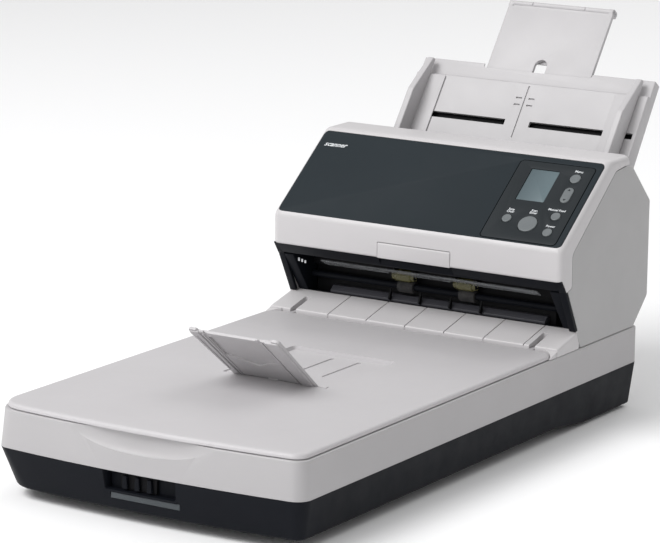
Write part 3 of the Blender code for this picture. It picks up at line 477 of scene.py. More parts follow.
def makeFinishes():
    finishes = {key: mouldedPlastic(key + "_plastic", look) for key, look in plasticLooks.items()}
    finishes["rubber"] = rubberFinish()
    finishes["steel"] = steelFinish()
    finishes["glass"] = clearFinish("platen_clear",
                                    {"colour": (0.86, 0.94, 0.92), "clear": 0.92, "rough": 0.02})
    finishes["clear"] = clearFinish("clear_strip",
                                    {"colour": (0.62, 0.64, 0.66), "clear": 0.75, "rough": 0.12})
    finishes["idler"] = clearFinish("tinted_idler",
                                    {"colour": (0.2, 0.19, 0.08), "clear": 0.5, "rough": 0.24})
    finishes["frosted"] = clearFinish("frosted_plate",
                                      {"colour": (0.05, 0.06, 0.068), "clear": 0.2, "rough": 0.34})
    finishes["display"] = displayFinish()
    finishes["pad"] = padFinish()
    finishes["board"] = boardFinish()
    return finishes


finish = makeFinishes()
print("finishes:", len(finish))


# repeated details, made by Geometry Nodes

def repeatTree(name, ring=False):
    # copies of one shape along a line, or round an axis
    tree = bpy.data.node_groups.new(name, "GeometryNodeTree")
    tree.is_modifier = True
    kinds = {"Shape": "Object", "Count": "Int", "Start": "Vector", "Step": "Vector", "Finish": "Material"}
    for socket, kind in kinds.items():
        tree.interface.new_socket(name=socket, in_out="INPUT", socket_type="NodeSocket" + kind)
    tree.interface.new_socket(name="Geometry", in_out="OUTPUT", socket_type="NodeSocketGeometry")
    given = tree.nodes.new("NodeGroupInput")
    result = tree.nodes.new("NodeGroupOutput")
    line = tree.nodes.new("GeometryNodeMeshLine")
    shape = tree.nodes.new("GeometryNodeObjectInfo")
    copies = tree.nodes.new("GeometryNodeInstanceOnPoints")
    real = tree.nodes.new("GeometryNodeRealizeInstances")
    finished = tree.nodes.new("GeometryNodeSetMaterial")
    link = tree.links.new
    link(given.outputs["Count"], line.inputs["Count"])
    link(given.outputs["Start"], line.inputs["Start Location"])
    link(given.outputs["Shape"], shape.inputs["Object"])
    link(line.outputs["Mesh"], copies.inputs["Points"])
    link(shape.outputs["Geometry"], copies.inputs["Instance"])
    link(copies.outputs["Instances"], real.inputs["Geometry"])
    link(real.outputs["Geometry"], finished.inputs["Geometry"])
    link(given.outputs["Finish"], finished.inputs["Material"])
    link(finished.outputs["Geometry"], result.inputs["Geometry"])
    if ring:
        line.inputs["Offset"].default_value = (0, 0, 0)
        index = tree.nodes.new("GeometryNodeInputIndex")
        turn = tree.nodes.new("ShaderNodeVectorMath")
        turn.operation = "SCALE"
        link(given.outputs["Step"], turn.inputs[0])
        link(index.outputs["Index"], turn.inputs["Scale"])
        link(turn.outputs["Vector"], copies.inputs["Rotation"])
    else:
        link(given.outputs["Step"], line.inputs["Offset"])
    return tree


rowTree = repeatTree("row_of_shapes")
ringTree = repeatTree("ring_of_shapes", ring=True)


def repeated(mesh, tree, count, step, look, start=(0, 0, 0)):
    shape = bpy.data.objects.new("shape", mesh)
    bpy.context.scene.collection.objects.link(shape)

    def setUp(holder):
        rows = holder.modifiers.new("rows", "NODES")
        rows.node_group = tree
        sockets = {item.name: item.identifier for item in tree.interface.items_tree if item.in_out == "INPUT"}
        rows[sockets["Shape"]] = shape
        rows[sockets["Count"]] = count
        rows[sockets["Start"]] = start
        rows[sockets["Step"]] = step
        rows[sockets["Finish"]] = finish[look]

    result = evaluated(bpy.data.objects.new("rows", bpy.data.meshes.new("rows")), setUp)
    bpy.data.objects.remove(shape, do_unlink=True)
    return result


# the base

base = {
    "halfWidth": 150.0, "depth": 561.0, "bow": 8.0, "corner": 13.0, "rearCorner": 8.0, "draft": 5.3,
    "lowLeftCorner": 41.0, "topLeftCorner": 24.0,
    "trayBottom": 2.8, "frontBottom": 9.2, "seam": 42.0, "caseTop": 75.0, "wall": 3.0,
}


def planOutline(half, front, rear, bow, corners, rearCorner, inset=0.0, steps=10):
    # a bowed front edge and four round corners, moved in by an inset
    half -= inset
    pull = [-1.0, -0.7, -0.5, -0.25, 0.0, 0.25, 0.5, 0.75, 1.0]
    points = []
    for t in pull:
        corner = corners[0] if t < 0 else corners[1]
        radius = max(corner - inset, 0.6) if abs(t) == 1 else 0
        points.append((half * t, front + inset + bow * t * t, radius))
    for side in (1, -1):
        points.append((side * half, rear - inset, max(rearCorner - inset, 0.6)))
    return rounded(points, steps)


def baseOutline(inset=0.0, leftCorner=13.0):
    corners = (leftCorner, base["corner"])
    return planOutline(base["halfWidth"], 0.0, base["depth"], base["bow"], corners, base["rearCorner"], inset)


def makeBase():
    seam = base["seam"]
    low, high = base["trayBottom"], seam + 8

    def wallAt(z, inset=0.0):
        # the wall leans in towards the bottom, and its left front corner opens out
        share = (seam - z) / (seam - low)
        corner = base["corner"] + (base["lowLeftCorner"] - base["corner"]) * max(share, 0)
        return baseOutline(base["draft"] * share + inset, corner), z

    tray = stack([wallAt(low), wallAt(seam), wallAt(high)])
    step = [(-20, -20), (418, -20), (470, -20), (470, low), (418, base["frontBottom"]),
            (-20, base["frontBottom"])]
    tray = softened(cut(tray, prism(step, -180, 180)), 2.2, 4, 40)
    floor = base["frontBottom"] + base["wall"]
    wall = base["wall"]
    inside = stack([(wallAt(low, wall)[0], floor), wallAt(seam, wall), wallAt(high + 9, wall)])
    tray = join(cut(tray, inside), block((-36.7, 2.5, 22), (34.7, 14, seam + 3)))
    tray = cut(tray, block((-200, -50, seam - 0.15), (200, 700, 90)))
    pocket = prism(rounded([(-34.5, 26.2, 1.5), (32.5, 26.2, 1.5), (32.5, 39.8, 1), (-34.5, 39.8, 1)]), -9,
                   10.5, "y")
    plateSeat = prism(rectangle(-30.3, 37.3, 18.5, 24.0, 1), -9, 4.6, "y")
    lead = stack([(rounded([(-37.5, 24.9, 1.5), (35.5, 24.9, 1.5), (35.5, 43, 1), (-37.5, 43, 1)]), -1.0),
                  (rounded([(-34.5, 26.2, 1.5), (32.5, 26.2, 1.5), (32.5, 40.4, 1), (-34.5, 40.4, 1)]), 4.6)],
                  "y")
    tray = cut(tray, pocket, plateSeat, lead)
    ports = [block((-112, 540, 18), (-98, 570, 32)), block((-80, 540, 18), (-66, 570, 31))]
    ring = rod((-105, 560.0, 25), (-105, 565, 25), 9.5)
    inletSeat = prism(rectangle(-82.5, -63.5, 15.5, 33.5, 2), 559.2, 566, "y")
    tray = cut(tray, *ports, ring, inletSeat)
    addPiece("tray_shell", tray, "dark", body, ["base_tray"])

    plate = softened(nodeMesh("lock_plate"), 0.35)
    addPiece("lock_window", plate, "frosted", body, ["lock_plate"])
    slider = softened(block((-23, 7.4, 26.6), (12, 10.0, 39.4)), 0.4)
    addPiece("lock_slide", slider, "inner", "transport_lock", ["transport_lock"])
    rib = softened(prism(rounded([(-2.4, 27.4, 0.8), (2.4, 27.4, 0.8), (1.9, 38.6, 0.8), (-1.9, 38.6, 0.8)]),
                         4.2, 7.5, "y"), 0.5)
    ribs = repeated(rib, rowTree, 3, (12.0, 0, 0), "dark", (-17.5, 0, 0))
    addPiece("lock_ribs", ribs, "dark", "transport_lock")

    case = [(baseOutline(), seam - 8), (baseOutline(), seam)]
    case = stack(case + [(baseOutline(0.0, base["topLeftCorner"]), base["caseTop"])])
    case = softened(case, 1.6, 4, 40)
    case = cut(case, block((-200, -50, 20), (200, 700, seam + 0.15)))
    hollow = rectangle(-147, 147, 17, 558, 6)
    glassLow, glassHigh = boxOf("platen_glass")
    opening = rectangle(glassLow.x - 0.3, glassHigh.x + 0.3, glassLow.y - 0.3, glassHigh.y + 0.3, 1)
    seat = block((glassLow.x + 3.7, glassLow.y + 3.7, 60), (glassHigh.x - 3.7, glassHigh.y - 3.7, 71))
    case = cut(case, prism(hollow, 20, 66, "z"), prism(opening, 70, 80, "z"), seat,
               block((-100, 470, 60), (60, 540, 80)))
    scoop = bmesh.new()
    bmesh.ops.create_uvsphere(scoop, u_segments=96, v_segments=48, radius=1)
    scoop.transform(Matrix.Translation((0, -1.0, 76)) @ Matrix.Diagonal((72, 7, 18, 1)))
    case = cut(case, meshFrom(scoop))
    addPiece("case_shell", case, "case", body, ["upper_case"])

    addPiece("platen_sheet", softened(nodeMesh("platen_glass"), 0.25), "glass", body,
             ["platen_glass"])
    tick = block((-0.15, 0, 75.0), (0.15, 3.2, 75.06))
    ticks = repeated(tick, rowTree, 21, (10, 0, 0), "tick", (-100, 33, 0))
    addPiece("width_scale", ticks, "tick", body)
    tick = block((0, -0.15, 75.0), (3.2, 0.15, 75.06))
    ticks = repeated(tick, rowTree, 30, (0, 10, 0), "tick", (-117.5, 45, 0))
    addPiece("length_scale", ticks, "tick", body)

    for place in ("front_left", "front_right", "rear_left", "rear_right"):
        node = "foot_" + place
        low, high = boxOf(node)
        centre = ((low.x + high.x) / 2, (low.y + high.y) / 2, 0)
        height = high.z
        profile = [(7.6, 0.0), (8.6, 0.05), (9.6, 0.5), (10.3, 1.2), (10.5, 1.9), (10.5, height - 0.2),
                   (10.0, height)]
        foot = spun(profile, centre, 40, "z")
        addPiece(node + "_pad", foot, "rubber", body, [node])


def makeFlatbed():
    refine("scan_carriage", "inner", "scan_carriage", 0.5)
    lens = block((-99.5, 54.6, 62.6), (99.5, 61.4, 64.8))
    addPiece("carriage_window", softened(lens, 0.3), "glass", "scan_carriage")
    refine("carriage_rod", "steel", body, 0.4)
    refine("carriage_motor", "steel", body, 0.8)
    refine("carriage_pulley", "steel", "carriage_pulley", 0.2)
    refine("rear_pulley", "steel", "rear_pulley", 0.2)
    refine("carriage_belt", "rubber", body, 0.2)
    refine("main_board", "board", body, 0.2)
    chip = softened(block((30, 440, 18.7), (44, 454, 20.5)), 0.3)
    chips = repeated(chip, rowTree, 4, (24, 18, 0), "inner")
    addPiece("board_chips", chips, "inner", body)
    refine("usb_port", "steel", body, 0.3)
    refine("power_inlet", "inner", body, 0.3)


# the document cover and the output stopper

lid = {
    "half": 148.0, "front": 1.2, "rear": 409.2, "bow": 8.0, "corner": 12.0, "leftCorner": 24.0,
    "rearCorner": 13.0,
    "under": 75.6, "top": 80.0, "edge": 3.6, "hingeX": 124.0, "pivot": (431.0, 79.5),
}


stopper = {"pivot": (197.5, 78.6), "lean": 141.5, "half": 1.3}


def lidOutline(inset):
    corners = (lid["leftCorner"], lid["corner"])
    return planOutline(lid["half"], lid["front"], lid["rear"], lid["bow"], corners, lid["rearCorner"], inset)


def makeLid():
    edge = lid["edge"]
    stations = [(lidOutline(0.5), lid["under"]), (lidOutline(0.1), lid["under"] + 0.35)]
    for k in range(8):
        angle = math.pi / 2 * k / 7
        inset = edge * (1 - math.cos(angle))
        stations.append((lidOutline(inset), lid["top"] - edge + edge * math.sin(angle)))
    cover = stack(stations)
    low, high = (-52, 192.8), (52, 303)
    floor = 76.9
    draft = 1.1
    recess = stack([
        (rounded([(low[0] + draft, low[1], 1.2), (high[0] - draft, low[1], 1.2),
                  (high[0] - draft, high[1] - draft, 3), (low[0] + draft, high[1] - draft, 3)]), floor),
        (rounded([(low[0], low[1], 1.2), (high[0], low[1], 1.2), (high[0], high[1], 4),
                  (low[0], high[1], 4)]), lid["top"]),
        (rounded([(low[0] - 0.4, low[1], 1.2), (high[0] + 0.4, low[1], 1.2),
                  (high[0] + 0.4, high[1] + 0.4, 4),
                  (low[0] - 0.4, high[1] + 0.4, 4)]), lid["top"] + 1.3),
    ])
    cover = cut(cover, recess)
    grooves = []
    for x in (-5.0, 22.0):
        slot = rectangle(x - 1.8, x + 1.8, 234, 293, 1.7)
        grooves.append(prism(slot, floor - 0.8, floor + 2, "z"))
    cover = cut(cover, *grooves)
    pivotY, pivotZ = lid["pivot"]
    arms = []
    for x in (-lid["hingeX"], lid["hingeX"]):
        arm = [rounded([(403, 76.3), (431, 76.2, 3.3), (434.4, 78), (434.4, 81, 2), (430, 82.9, 3),
                        (424, 79.7, 2), (403, 79.7)]),
               circle(pivotY, pivotZ, 2.2)]
        arms.append(softened(prism(arm, x - 2.5, x + 2.5), 0.35))
    cover = join(cover, *arms)
    bearings = [softened(block((x - 3.4, 195.2, 76.5), (x + 3.4, 200.0, 79.9)), 0.5) for x in (-46.5, 46.5)]
    cover = join(cover, *bearings)
    pins = [rod((start, *stopper["pivot"]), (end, *stopper["pivot"]), 1.1, 20) for start,
            end in ((-47.7, -41.5), (41.5, 47.7))]
    cover = cut(cover, *pins)
    addPiece("cover_shell", cover, "cover", "document_cover", ["document_cover"])

    low, high = boxOf("cover_pad")
    stations = []
    for inset, z in ((0.9, high.z), (0.1, high.z - 0.5), (0.0, high.z - 1.2), (0.3, low.z + 0.9),
                     (1.2, low.z + 0.2), (3.0, low.z)):
        stations.append((rectangle(low.x + inset, high.x - inset, low.y + inset, high.y - inset, 3.0), z))
    pad = stack(stations[::-1])
    piece = addPiece("cover_cushion", pad, "pad", "document_cover", ["cover_pad"])


def makeStopper():
    lean = math.radians(stopper["lean"])
    place = Matrix.Translation((0, *stopper["pivot"])) @ Matrix.Rotation(lean, 4, "X")
    half = stopper["half"]
    outline = rounded([(-40.5, -0.8), (40.5, -0.8), (45, 84, 3), (37, 84, 1), (36, 81, 1), (-36, 81, 1),
                       (-37, 84, 1), (-45, 84, 3)])
    plate = softened(prism(outline, -half, half, "z"), 0.35)
    plate = join(plate, rod((-45, 0, 0), (45, 0, 0), 0.9, 20))
    right = rounded([(28.5, 3.5, 0.8), (39.8, 3.5, 1), (44.2, 82.5, 2.5), (30, 82.5, 2.5)])
    left = rounded([(-39.8, 3.5, 1), (-33.5, 3.5, 0.8), (-35, 82.5, 1.5), (-44.2, 82.5, 2.5)])
    channel = rounded([(-38.9, 14, 0.9), (-36.9, 14, 0.9), (-37.8, 74, 0.9), (-41.0, 74, 0.9)])
    narrow = cut(prism(left, 0.4, half + 1.1, "z"), prism(channel, half + 0.2, 8, "z"))
    bars = [softened(prism(right, 0.4, half + 1.5, "z"), 1.1, 4), softened(narrow, 0.35)]
    for rail in ([(25.0, 5), (26.4, 5), (27.4, 80), (26.0, 80)],
                 [(-31.2, 5), (-29.8, 5), (-31.0, 80), (-32.4, 80)]):
        bars.append(softened(prism(rail, 0.4, half + 0.9, "z"), 0.2))
    plate = join(plate, *bars)
    wave = [(-29.5, 41), (-25, 39.6), (-14, 33), (-5.7, 28.6), (-2, 28), (2.6, 30.4), (9, 35.5), (18, 37.5),
            (24, 38)]
    upper = wave + [(24.5, 74), (20, 76.5), (-24, 76.5), (-29.5, 74)]
    tools = [prism(upper, half - 1.7, 7, "z")]
    for line in ([(26.9, 6), (27.9, 6), (29.0, 79), (28.0, 79)],
                 [(-33.0, 6), (-32.0, 6), (-33.2, 79), (-34.2, 79)]):
        tools.append(prism(line, half - 1.9, 8, "z"))
    tools.append(prism(rectangle(-7, 5.4, 1.6, 6, 0.5), half - 1.1, 5, "z"))
    plate = cut(plate, *tools)
    clip = softened(block((-5.6, 2.4, half - 0.6), (4.2, 5.2, half + 0.5)), 0.4)
    hooks = [softened(block((x - 1.6, 80.4, half - 0.6), (x + 1.6, 85.2, half + 1.0)), 0.4) for x in (-30,
                                                                                                      24)]
    plate = join(plate, clip, *hooks)
    plate.transform(place)
    addPiece("stopper_flap", plate, "light", "output_stopper", ["output_stopper"])


# the feeder's body

deck = {"front": (410.6, 82.4), "rear": (449.6, 91.7), "halfWidth": 149.3, "grooves": 6, "grooveStep": 40.4}


def makeDeck():
    half = deck["halfWidth"]
    frontY0, frontZ = deck["front"]
    rearY, rearZ = deck["rear"]
    low = 75.3
    rise = (rearZ - frontZ) / (rearY - frontY0)

    def section(drop):
        return rounded([(frontY0, low), (frontY0 + 0.3, frontZ - drop, 1.6), (rearY, rearZ - drop),
                        (rearY, low)], 5)

    ends = [(half, 1.5), (half - 0.5, 0.7), (half - 1.4, 0.15), (half - 2.6, 0.0)]
    stations = [(section(drop), -x) for x, drop in ends] + [(section(drop), x) for x, drop in ends[::-1]]
    wedge = stack(stations, "x")
    beside = [(443.9, 93), (452.6, 74), (470, 74), (470, 93)]
    tools = []
    for side in (-1, 1):
        tools.append(prism(beside, *sorted((side * 143.2, side * 155))))
        x = lid["hingeX"] * side
        slot = rounded([(x - 3, 404), (x + 3, 404), (x + 3, 437, 1.5), (x - 3, 437, 1.5)])
        tools.append(prism(slot, 70, 100, "z"))
    wedge = cut(wedge, *tools)
    grooves = []
    for k in range(deck["grooves"]):
        x = -86.5 + deck["grooveStep"] * k
        depth = 1.4
        line = [(406, frontZ - depth - 4.6 * rise), (455, rearZ - depth + 5.4 * rise), (455, 100), (406, 100)]
        grooves.append(prism(line, x - 0.55, x + 0.55))
    for k in (0, 2, 4):
        x = -86.5 + deck["grooveStep"] * k
        grooves.append(block((x - 0.4, 409, 76.2), (x + 0.4, 411.3, 84)))
    wedge = cut(wedge, *grooves)
    hinge = lid["hingeX"]
    wedge = join(wedge,
                 *[rod((x - 4, *lid["pivot"]), (x + 4, *lid["pivot"]), 2.0, 24) for x in (-hinge, hinge)])
    addPiece("deck_wedge", wedge, "hood", body, ["exit_deck"])

    # the toes that wrap the cover's rear corners
    corner, reach = lid["rearCorner"], 0.45
    centre = (lid["half"] - corner, lid["rear"] - corner)
    for side, name in ((-1, "toe_left"), (1, "toe_right")):
        arc = []
        for k in range(9):
            angle = math.radians(4 + 82 * k / 8)
            arc.append((centre[0] + (corner + reach) * math.cos(angle),
                        centre[1] + (corner + reach) * math.sin(angle)))
        plan = arc + [(arc[-1][0], 410.3), (half - 0.3, 410.3), (half - 0.1, centre[1] + 2)]
        bm = bmesh.new()
        lower = [bm.verts.new((side * x, y, 75.35)) for x, y in plan]
        upper = []
        for x, y in plan:
            back = min(max((y - centre[1]) / (410.6 - centre[1]), 0), 1)
            outward = min(max((x - 136) / 13, 0), 1)
            upper.append(bm.verts.new((side * x, y, 76.0 + 6.0 * back ** 1.2 * (1 - 0.25 * outward))))
        bm.faces.new(lower)
        bm.faces.new(upper)
        for i in range(len(plan)):
            j = (i + 1) % len(plan)
            bm.faces.new((lower[i], lower[j], upper[j], upper[i]))
        addPiece(name, meshFrom(bm), "hood", body)


def cheekEdge(grow=0.0):
    # the dark strip down the front edge of each side
    return [(424.2 - grow * 9, 129.5 + grow), (444.0 - grow * 9, 91.0 - grow), (447.2 + grow, 92.2 - grow),
            (427.2 + grow, 130.9 + grow)]


def makeSides():
    for name, side in (("side_cover_left", -1), ("side_cover_right", 1)):
        outline = rounded([
            (453.0, 75.8), (551.0, 75.8, 4), (576.5, 100.0, 6), (577.0, 187.0, 4), (543.0, 222.0, 4),
            (531.0, 224.9), (511.5, 222.9, 6), (435.1, 161.8, 9), (435.1, 132.2, 3), (424.6, 128.8, 0.6),
            (444.3, 91.9, 1),
        ], 5)
        cover = softened(prism(outline, *sorted((side * 143.5, side * 149.3))), 0.9, 4, 25)
        pin = rod((side * 134.5, 537, 225), (side * 145, 537, 225), 2.5, 32)
        cover = join(cut(cover, prism(cheekEdge(0.15), -160, 160)), pin)
        addPiece(name + "_shell", cover, "side", body, [name])

    rear = rounded([(551.6, 75.8), (576.5, 99.8, 5), (577.0, 183.5, 0.8), (574.3, 183.5, 0.8),
                    (573.6, 101.0, 4),
                    (550.5, 78.8), (547, 78.8), (547, 75.8)], 5)
    cover = softened(prism(rear, -143.2, 143.2), 0.4)
    louvre = prism(rectangle(-34, 34, 120.9, 123.1, 1), 575.6, 580, "y")
    slots = repeated(louvre, rowTree, 8, (0, 0, 5.2), "dark")
    cover = cut(cover, slots)
    addPiece("rear_panel", cover, "side", body, ["rear_cover"])


mouth = {"top": (416.0, 141.0), "bottom": (450.0, 92.0), "cheek": 44.5, "opening": 133.0}


def alongMouth(distance, inside=0.0):
    start, end = Vector(mouth["bottom"]), Vector(mouth["top"])
    up = (end - start).normalized()
    spot = start + up * distance + Vector((up.y, -up.x)) * inside
    return (spot.x, spot.y)


def makeMouth():
    low = 75.9
    width = 143.2
    sill = softened(prism([(450.2, low), (450.2, 91.3), (454.6, 91.6), (454.6, low)], -width, width), 0.4)
    cheek = [(450.2, low), (450.2, 91.6), alongMouth(mouth["cheek"]), alongMouth(mouth["cheek"], 16),
             (466, 116), (466, low)]
    holds = rod((-140, 458.6, 106.2), (140, 458.6, 106.2), 3.2, 32)
    cheeks = []
    for side in (-1, 1):
        cheeks.append(softened(prism(cheek, *sorted((side * mouth["opening"], side * width))), 0.7))
        cheeks.append(softened(prism(cheekEdge(), *sorted((side * (width - 0.6), side * 148.9))), 0.3))
    gate = cut(join(sill, *cheeks), holds)
    addPiece("mouth_frame", gate, "dark", body, ["exit_frame"])
    strip = rounded([(454.9, low), (454.9, 93.2, 0.8), (459.8, 97.2, 1.5), (464.0, 97.2), (464.0, low)])
    addPiece("exit_strip", softened(prism(strip, -112, 112), 0.3), "greyGuide", body,
             ["exit_guide"])
    rib = softened(prism([(451.0, 94.2), (454.4, 91.9), (456.5, 95.8), (455.3, 104.0)], -0.8, 0.8), 0.25)
    ribs = repeated(rib, rowTree, 4, (31.6, 0, 0), "inner", (-47.4, 0, 0))
    addPiece("exit_ribs", ribs, "inner", body)

    refine("lower_feed_unit", "inner", body, 0.4)
    refine("lower_sensor_glass", "glass", body, 0.3)
    refine("feed_motor", "steel", body, 0.8)
    refine("feed_belt", "rubber", body, 0.2)
    refine("pick_belt", "rubber", body, 0.2)
    refine("motor_pulley", "steel", "motor_pulley", 0.2)


rollers = {
    "eject_roller": {"radius": 6.0, "half": 8.0, "pulleys": [(126.5, 6.0)], "end": 138.5},
    "feed_roller": {"radius": 8.0, "half": 18.0, "pulleys": [(120.0, 7.0), (126.5, 7.5)], "end": 132.6},
    "pick_roller": {"radius": 10.0, "half": 18.0, "pulleys": [(120.0, 7.5)], "end": 132.6},
}


def makeRollers():
    for node, sizes in rollers.items():
        low, high = boxOf(node)
        centre = Vector((0, (low.y + high.y) / 2, (low.z + high.z) / 2))
        shaft = spun([(2.6, -138.5), (3.0, -138.0), (3.0, sizes["end"] - 0.5), (2.6, sizes["end"])], centre,
                     32)
        wheels = []
        for start, radius in sizes["pulleys"]:
            profile = [(radius, start), (radius, start + 0.3), (radius - 0.05, start + 0.4),
                       (radius - 0.05, start + 4.6),
                       (radius, start + 4.7), (radius, start + 5)]
            wheels.append(spun(profile, centre, 48))
        shaft = join(shaft, *wheels)
        shaftFinish = "dark" if node == "eject_roller" else "steel"
        addPiece(node + "_shaft", shaft, shaftFinish, node, [node])
        radius = sizes["radius"]
        for side, where in ((-1, "left"), (1, "right")):
            middle = 32.0 * side
            tyre = spun(softWheel(radius - 0.25, middle - sizes["half"], middle + sizes["half"], 0.7), centre,
                        48)
            addPiece(node + "_tyre_" + where, tyre, "rubber", node)
            count = 24
            ridge = softened(block((middle - sizes["half"] + 0.9, -0.35, radius - 0.6),
                                   (middle + sizes["half"] - 0.9, 0.35, radius - 0.02)), 0.15, 2)
            ridges = repeated(ridge, ringTree, count, (2 * math.pi / count, 0, 0), "rubber")
            ridges.transform(Matrix.Translation(centre))
            addPiece(node + "_ridges_" + where, ridges, "rubber", node)
    for node in ("eject_idler_left", "eject_idler_right"):
        low, high = boxOf(node)
        centre = (low + high) / 2
        wheel = join(spun(softWheel(5.5, -8, 8, 0.8), centre, 48), spun([(1.5, -12), (1.5, 12)], centre, 24))
        wheel = join(wheel, spun(softWheel(4.4, -11.4, 11.4, 0.6), centre, 40))
        addPiece(node + "_wheel", wheel, "idler", node, [node])
    low, high = boxOf("brake_roller")
    centre = (low + high) / 2
    brake = join(spun(softWheel(9.0, -16, 16, 1.0), centre, 48), spun([(2.0, -25), (2.0, 25)], centre, 24))
    addPiece("brake_roller_tyre", brake, "rubber", "brake_roller", ["brake_roller"])


# the feeder's hinged top

hood = {"nose": 415.0, "noseBottom": 141.2, "start": (415.0, 168.5), "end": (502.0, 234.4), "ridge": 536.0,
        "edge": 6.5}
slope = math.atan2(hood["end"][1] - hood["start"][1], hood["end"][0] - hood["start"][0])
onSlope = Matrix.Translation((0, *hood["start"])) @ Matrix.Rotation(slope, 4, "X")


def hoodLine(inset):
    start = (hood["start"][0] + inset, hood["start"][1] - inset * math.tan((math.pi / 2 - slope) / 2))
    end = (hood["end"][0] + inset * math.tan(slope / 2), hood["end"][1] - inset)
    return start, end


def makeHood():
    seam = [(hood["ridge"], 225.9), (529.5, 225.6), (511.2, 223.6, 5), (434.5, 162.2, 8), (434.5, 132.5, 3),
            (424.9, 129.6)]

    def section(inset):
        start, end = hoodLine(inset)
        points = [(hood["nose"] + inset, hood["noseBottom"], 1.2), (*start, 7), (*end, 9)]
        points += [(hood["ridge"], hood["end"][1] - inset, 2), *seam]
        return rounded(points[::-1], 8)

    half, edge = 149.3, hood["edge"]
    ends = []
    for k in range(7):
        angle = math.pi / 2 * k / 6
        ends.append((half - edge + edge * math.sin(angle), edge * (1 - math.cos(angle)) * 0.85))
    stations = [(section(inset), -x) for x, inset in ends[::-1]] + [(section(inset), x) for x, inset in ends]
    shell = stack(stations, "x")
    start, end = hoodLine(3.5)
    inner = [(hood["nose"] + 3.5, 120), (*start, 4), (*end, 6), (533.5, hood["end"][1] - 3.5), (533.5, 215)]
    inner += [(560, 200), (470, 150), (440, 120)]
    shell = cut(shell, prism(rounded(inner[::-1], 4), -143.2, 143.2),
                block((-146, 528, 214), (146, 540, 231.3)))
    tabSeat = prism(rounded([(-37.9, 120), (37.9, 120), (37.9, 154.3, 1), (-37.9, 154.3, 1)]), 400, 420, "y")
    fasciaSeat = prism(rectangle(-146, 146, 2.6, 104.6, 5), -1.9, 8, "z", onSlope)
    shell = cut(shell, tabSeat, fasciaSeat, block((68, 12, -9), (136, 90, 5), onSlope))
    start, end = Vector(alongMouth(20, 1.6)), Vector(alongMouth(59, 1.6))
    underEdge = [tuple(start), tuple(end), (end.x - 9, end.y - 6), (start.x - 9, start.y - 6)]
    shell = cut(shell, prism(underEdge, -160, 160))
    addPiece("hood_shell", shell, "hood", top, ["front_cover"])
    # a near-black ring on the floor of the gap round the control panel: painted shade that darkens the groove
    gap = rectangle(63, 141, 3.6, 99.2, 5)
    gapInside = rectangle(66, 138, 6.6, 96.2, 3)
    shade = prism([gap, gapInside], -1.88, -1.55, "z", onSlope)
    addPiece("panel_gap", shade, "inner", top)

    rim = 0.3
    plate = rectangle(-146 + rim, 146 - rim, 2.6 + rim, 104.6 - rim, 4.7)
    hole = rectangle(63.8, 140.2, 4.4, 98.4, 4.2)
    plate = softened(prism([plate, hole], -1.5, -0.05, "z"), 0.3)
    plate.transform(onSlope)
    addPiece("fascia_plate", plate, "fascia", top, ["fascia_panel"])


buttons = {
    "button_menu": (125.0, 83.0, 5.2), "button_stop": (81.2, 28.8, 4.6), "button_scan": (103.7, 25.2, 9.0),
    "button_manual": (126.0, 37.6, 4.6), "button_power": (126.3, 18.6, 4.6),
}
scroll = {"x": 125.6, "s": 63.0, "halfWidth": 4.6, "halfHeight": 9.0}


def ovalOutline(grow=0.0):
    x, s = scroll["x"], scroll["s"]
    w, h = scroll["halfWidth"] + grow, scroll["halfHeight"] + grow
    return rectangle(x - w, x + w, s - h, s + h, w * 0.98, 10)


def makePanel():
    outline = rectangle(64.6, 139.4, 5.2, 97.6, 3.5)
    holes = [circle(x, s, r + 0.35, 40) for x, s, r in buttons.values()]
    display = rectangle(78.7, 107.3, 51.7, 89.3, 1, 4)
    panel = softened(prism([outline, *holes, ovalOutline(0.35), display], -1.5, 0.0, "z"), 0.25)
    panel.transform(onSlope)
    addPiece("control_panel", panel, "panel", top, ["operator_panel"])
    glass = softened(prism(rectangle(79.1, 106.9, 52.1, 88.9, 0.8, 4), -1.5, -0.35, "z"), 0.25)
    glass.transform(onSlope)
    addPiece("display_pane", glass, "display", top, ["display_window"])

    for node, (x, s, radius) in buttons.items():
        profile = [(radius - 0.1, -4.2), (radius - 0.1, 0.2)]
        for k in range(1, 6):
            angle = math.pi / 2 * k / 5
            profile.append((radius - 0.1 - 0.8 * (1 - math.cos(angle)), 0.2 + 0.6 * math.sin(angle)))
        profile += [(radius * 0.6, 0.72), (radius * 0.3, 0.66), (0.05, 0.64)]
        cap = spun(profile, (x, s, 0), 48, "z", onSlope)
        addPiece(node + "_cap", cap, "button", node, [node])
    cap = softened(prism(ovalOutline(), -4.2, 0.8, "z"), 0.7, 4)
    cap.transform(onSlope)
    addPiece("button_scroll_cap", cap, "button", "button_scroll", ["button_scroll"])
    arrows = []
    for sign in (-1, 1):
        s = scroll["s"] + sign * 5.0
        arrow = [(scroll["x"] - 1.5, s), (scroll["x"] + 1.5, s), (scroll["x"], s + sign * 2.1)]
        arrows.append(prism(arrow[::sign], 0.7, 0.84, "z", onSlope))
    addPiece("scroll_arrows", join(arrows[0], arrows[1]), "panel", "button_scroll")


def wordMesh(word, x, s, size, slant=0.0):
    # a plain word, centred on a point of the slope
    curve = bpy.data.curves.new("word", "FONT")
    curve.body = word
    curve.size = size
    curve.align_x = "CENTER"
    curve.shear = slant
    curve.space_line = 0.8
    curve.offset = size * 0.012
    curve.resolution_u = 2
    curve.extrude = 0.04
    mesh = evaluated(bpy.data.objects.new("word", curve))
    bm = bmesh.new()
    bm.from_mesh(mesh)
    bm.transform(onSlope @ Matrix.Translation((x, s, 0.0)))
    return meshFrom(bm)


labels = {
    "Menu": (125.0, 90.6, 3.6), "Stop\nClear": (81.2, 38.6, 3.4), "Scan\nEnter": (103.4, 40.2, 3.4),
    "Manual Feed": (124.0, 43.9, 3.4), "Power": (126.3, 24.9, 3.4),
}


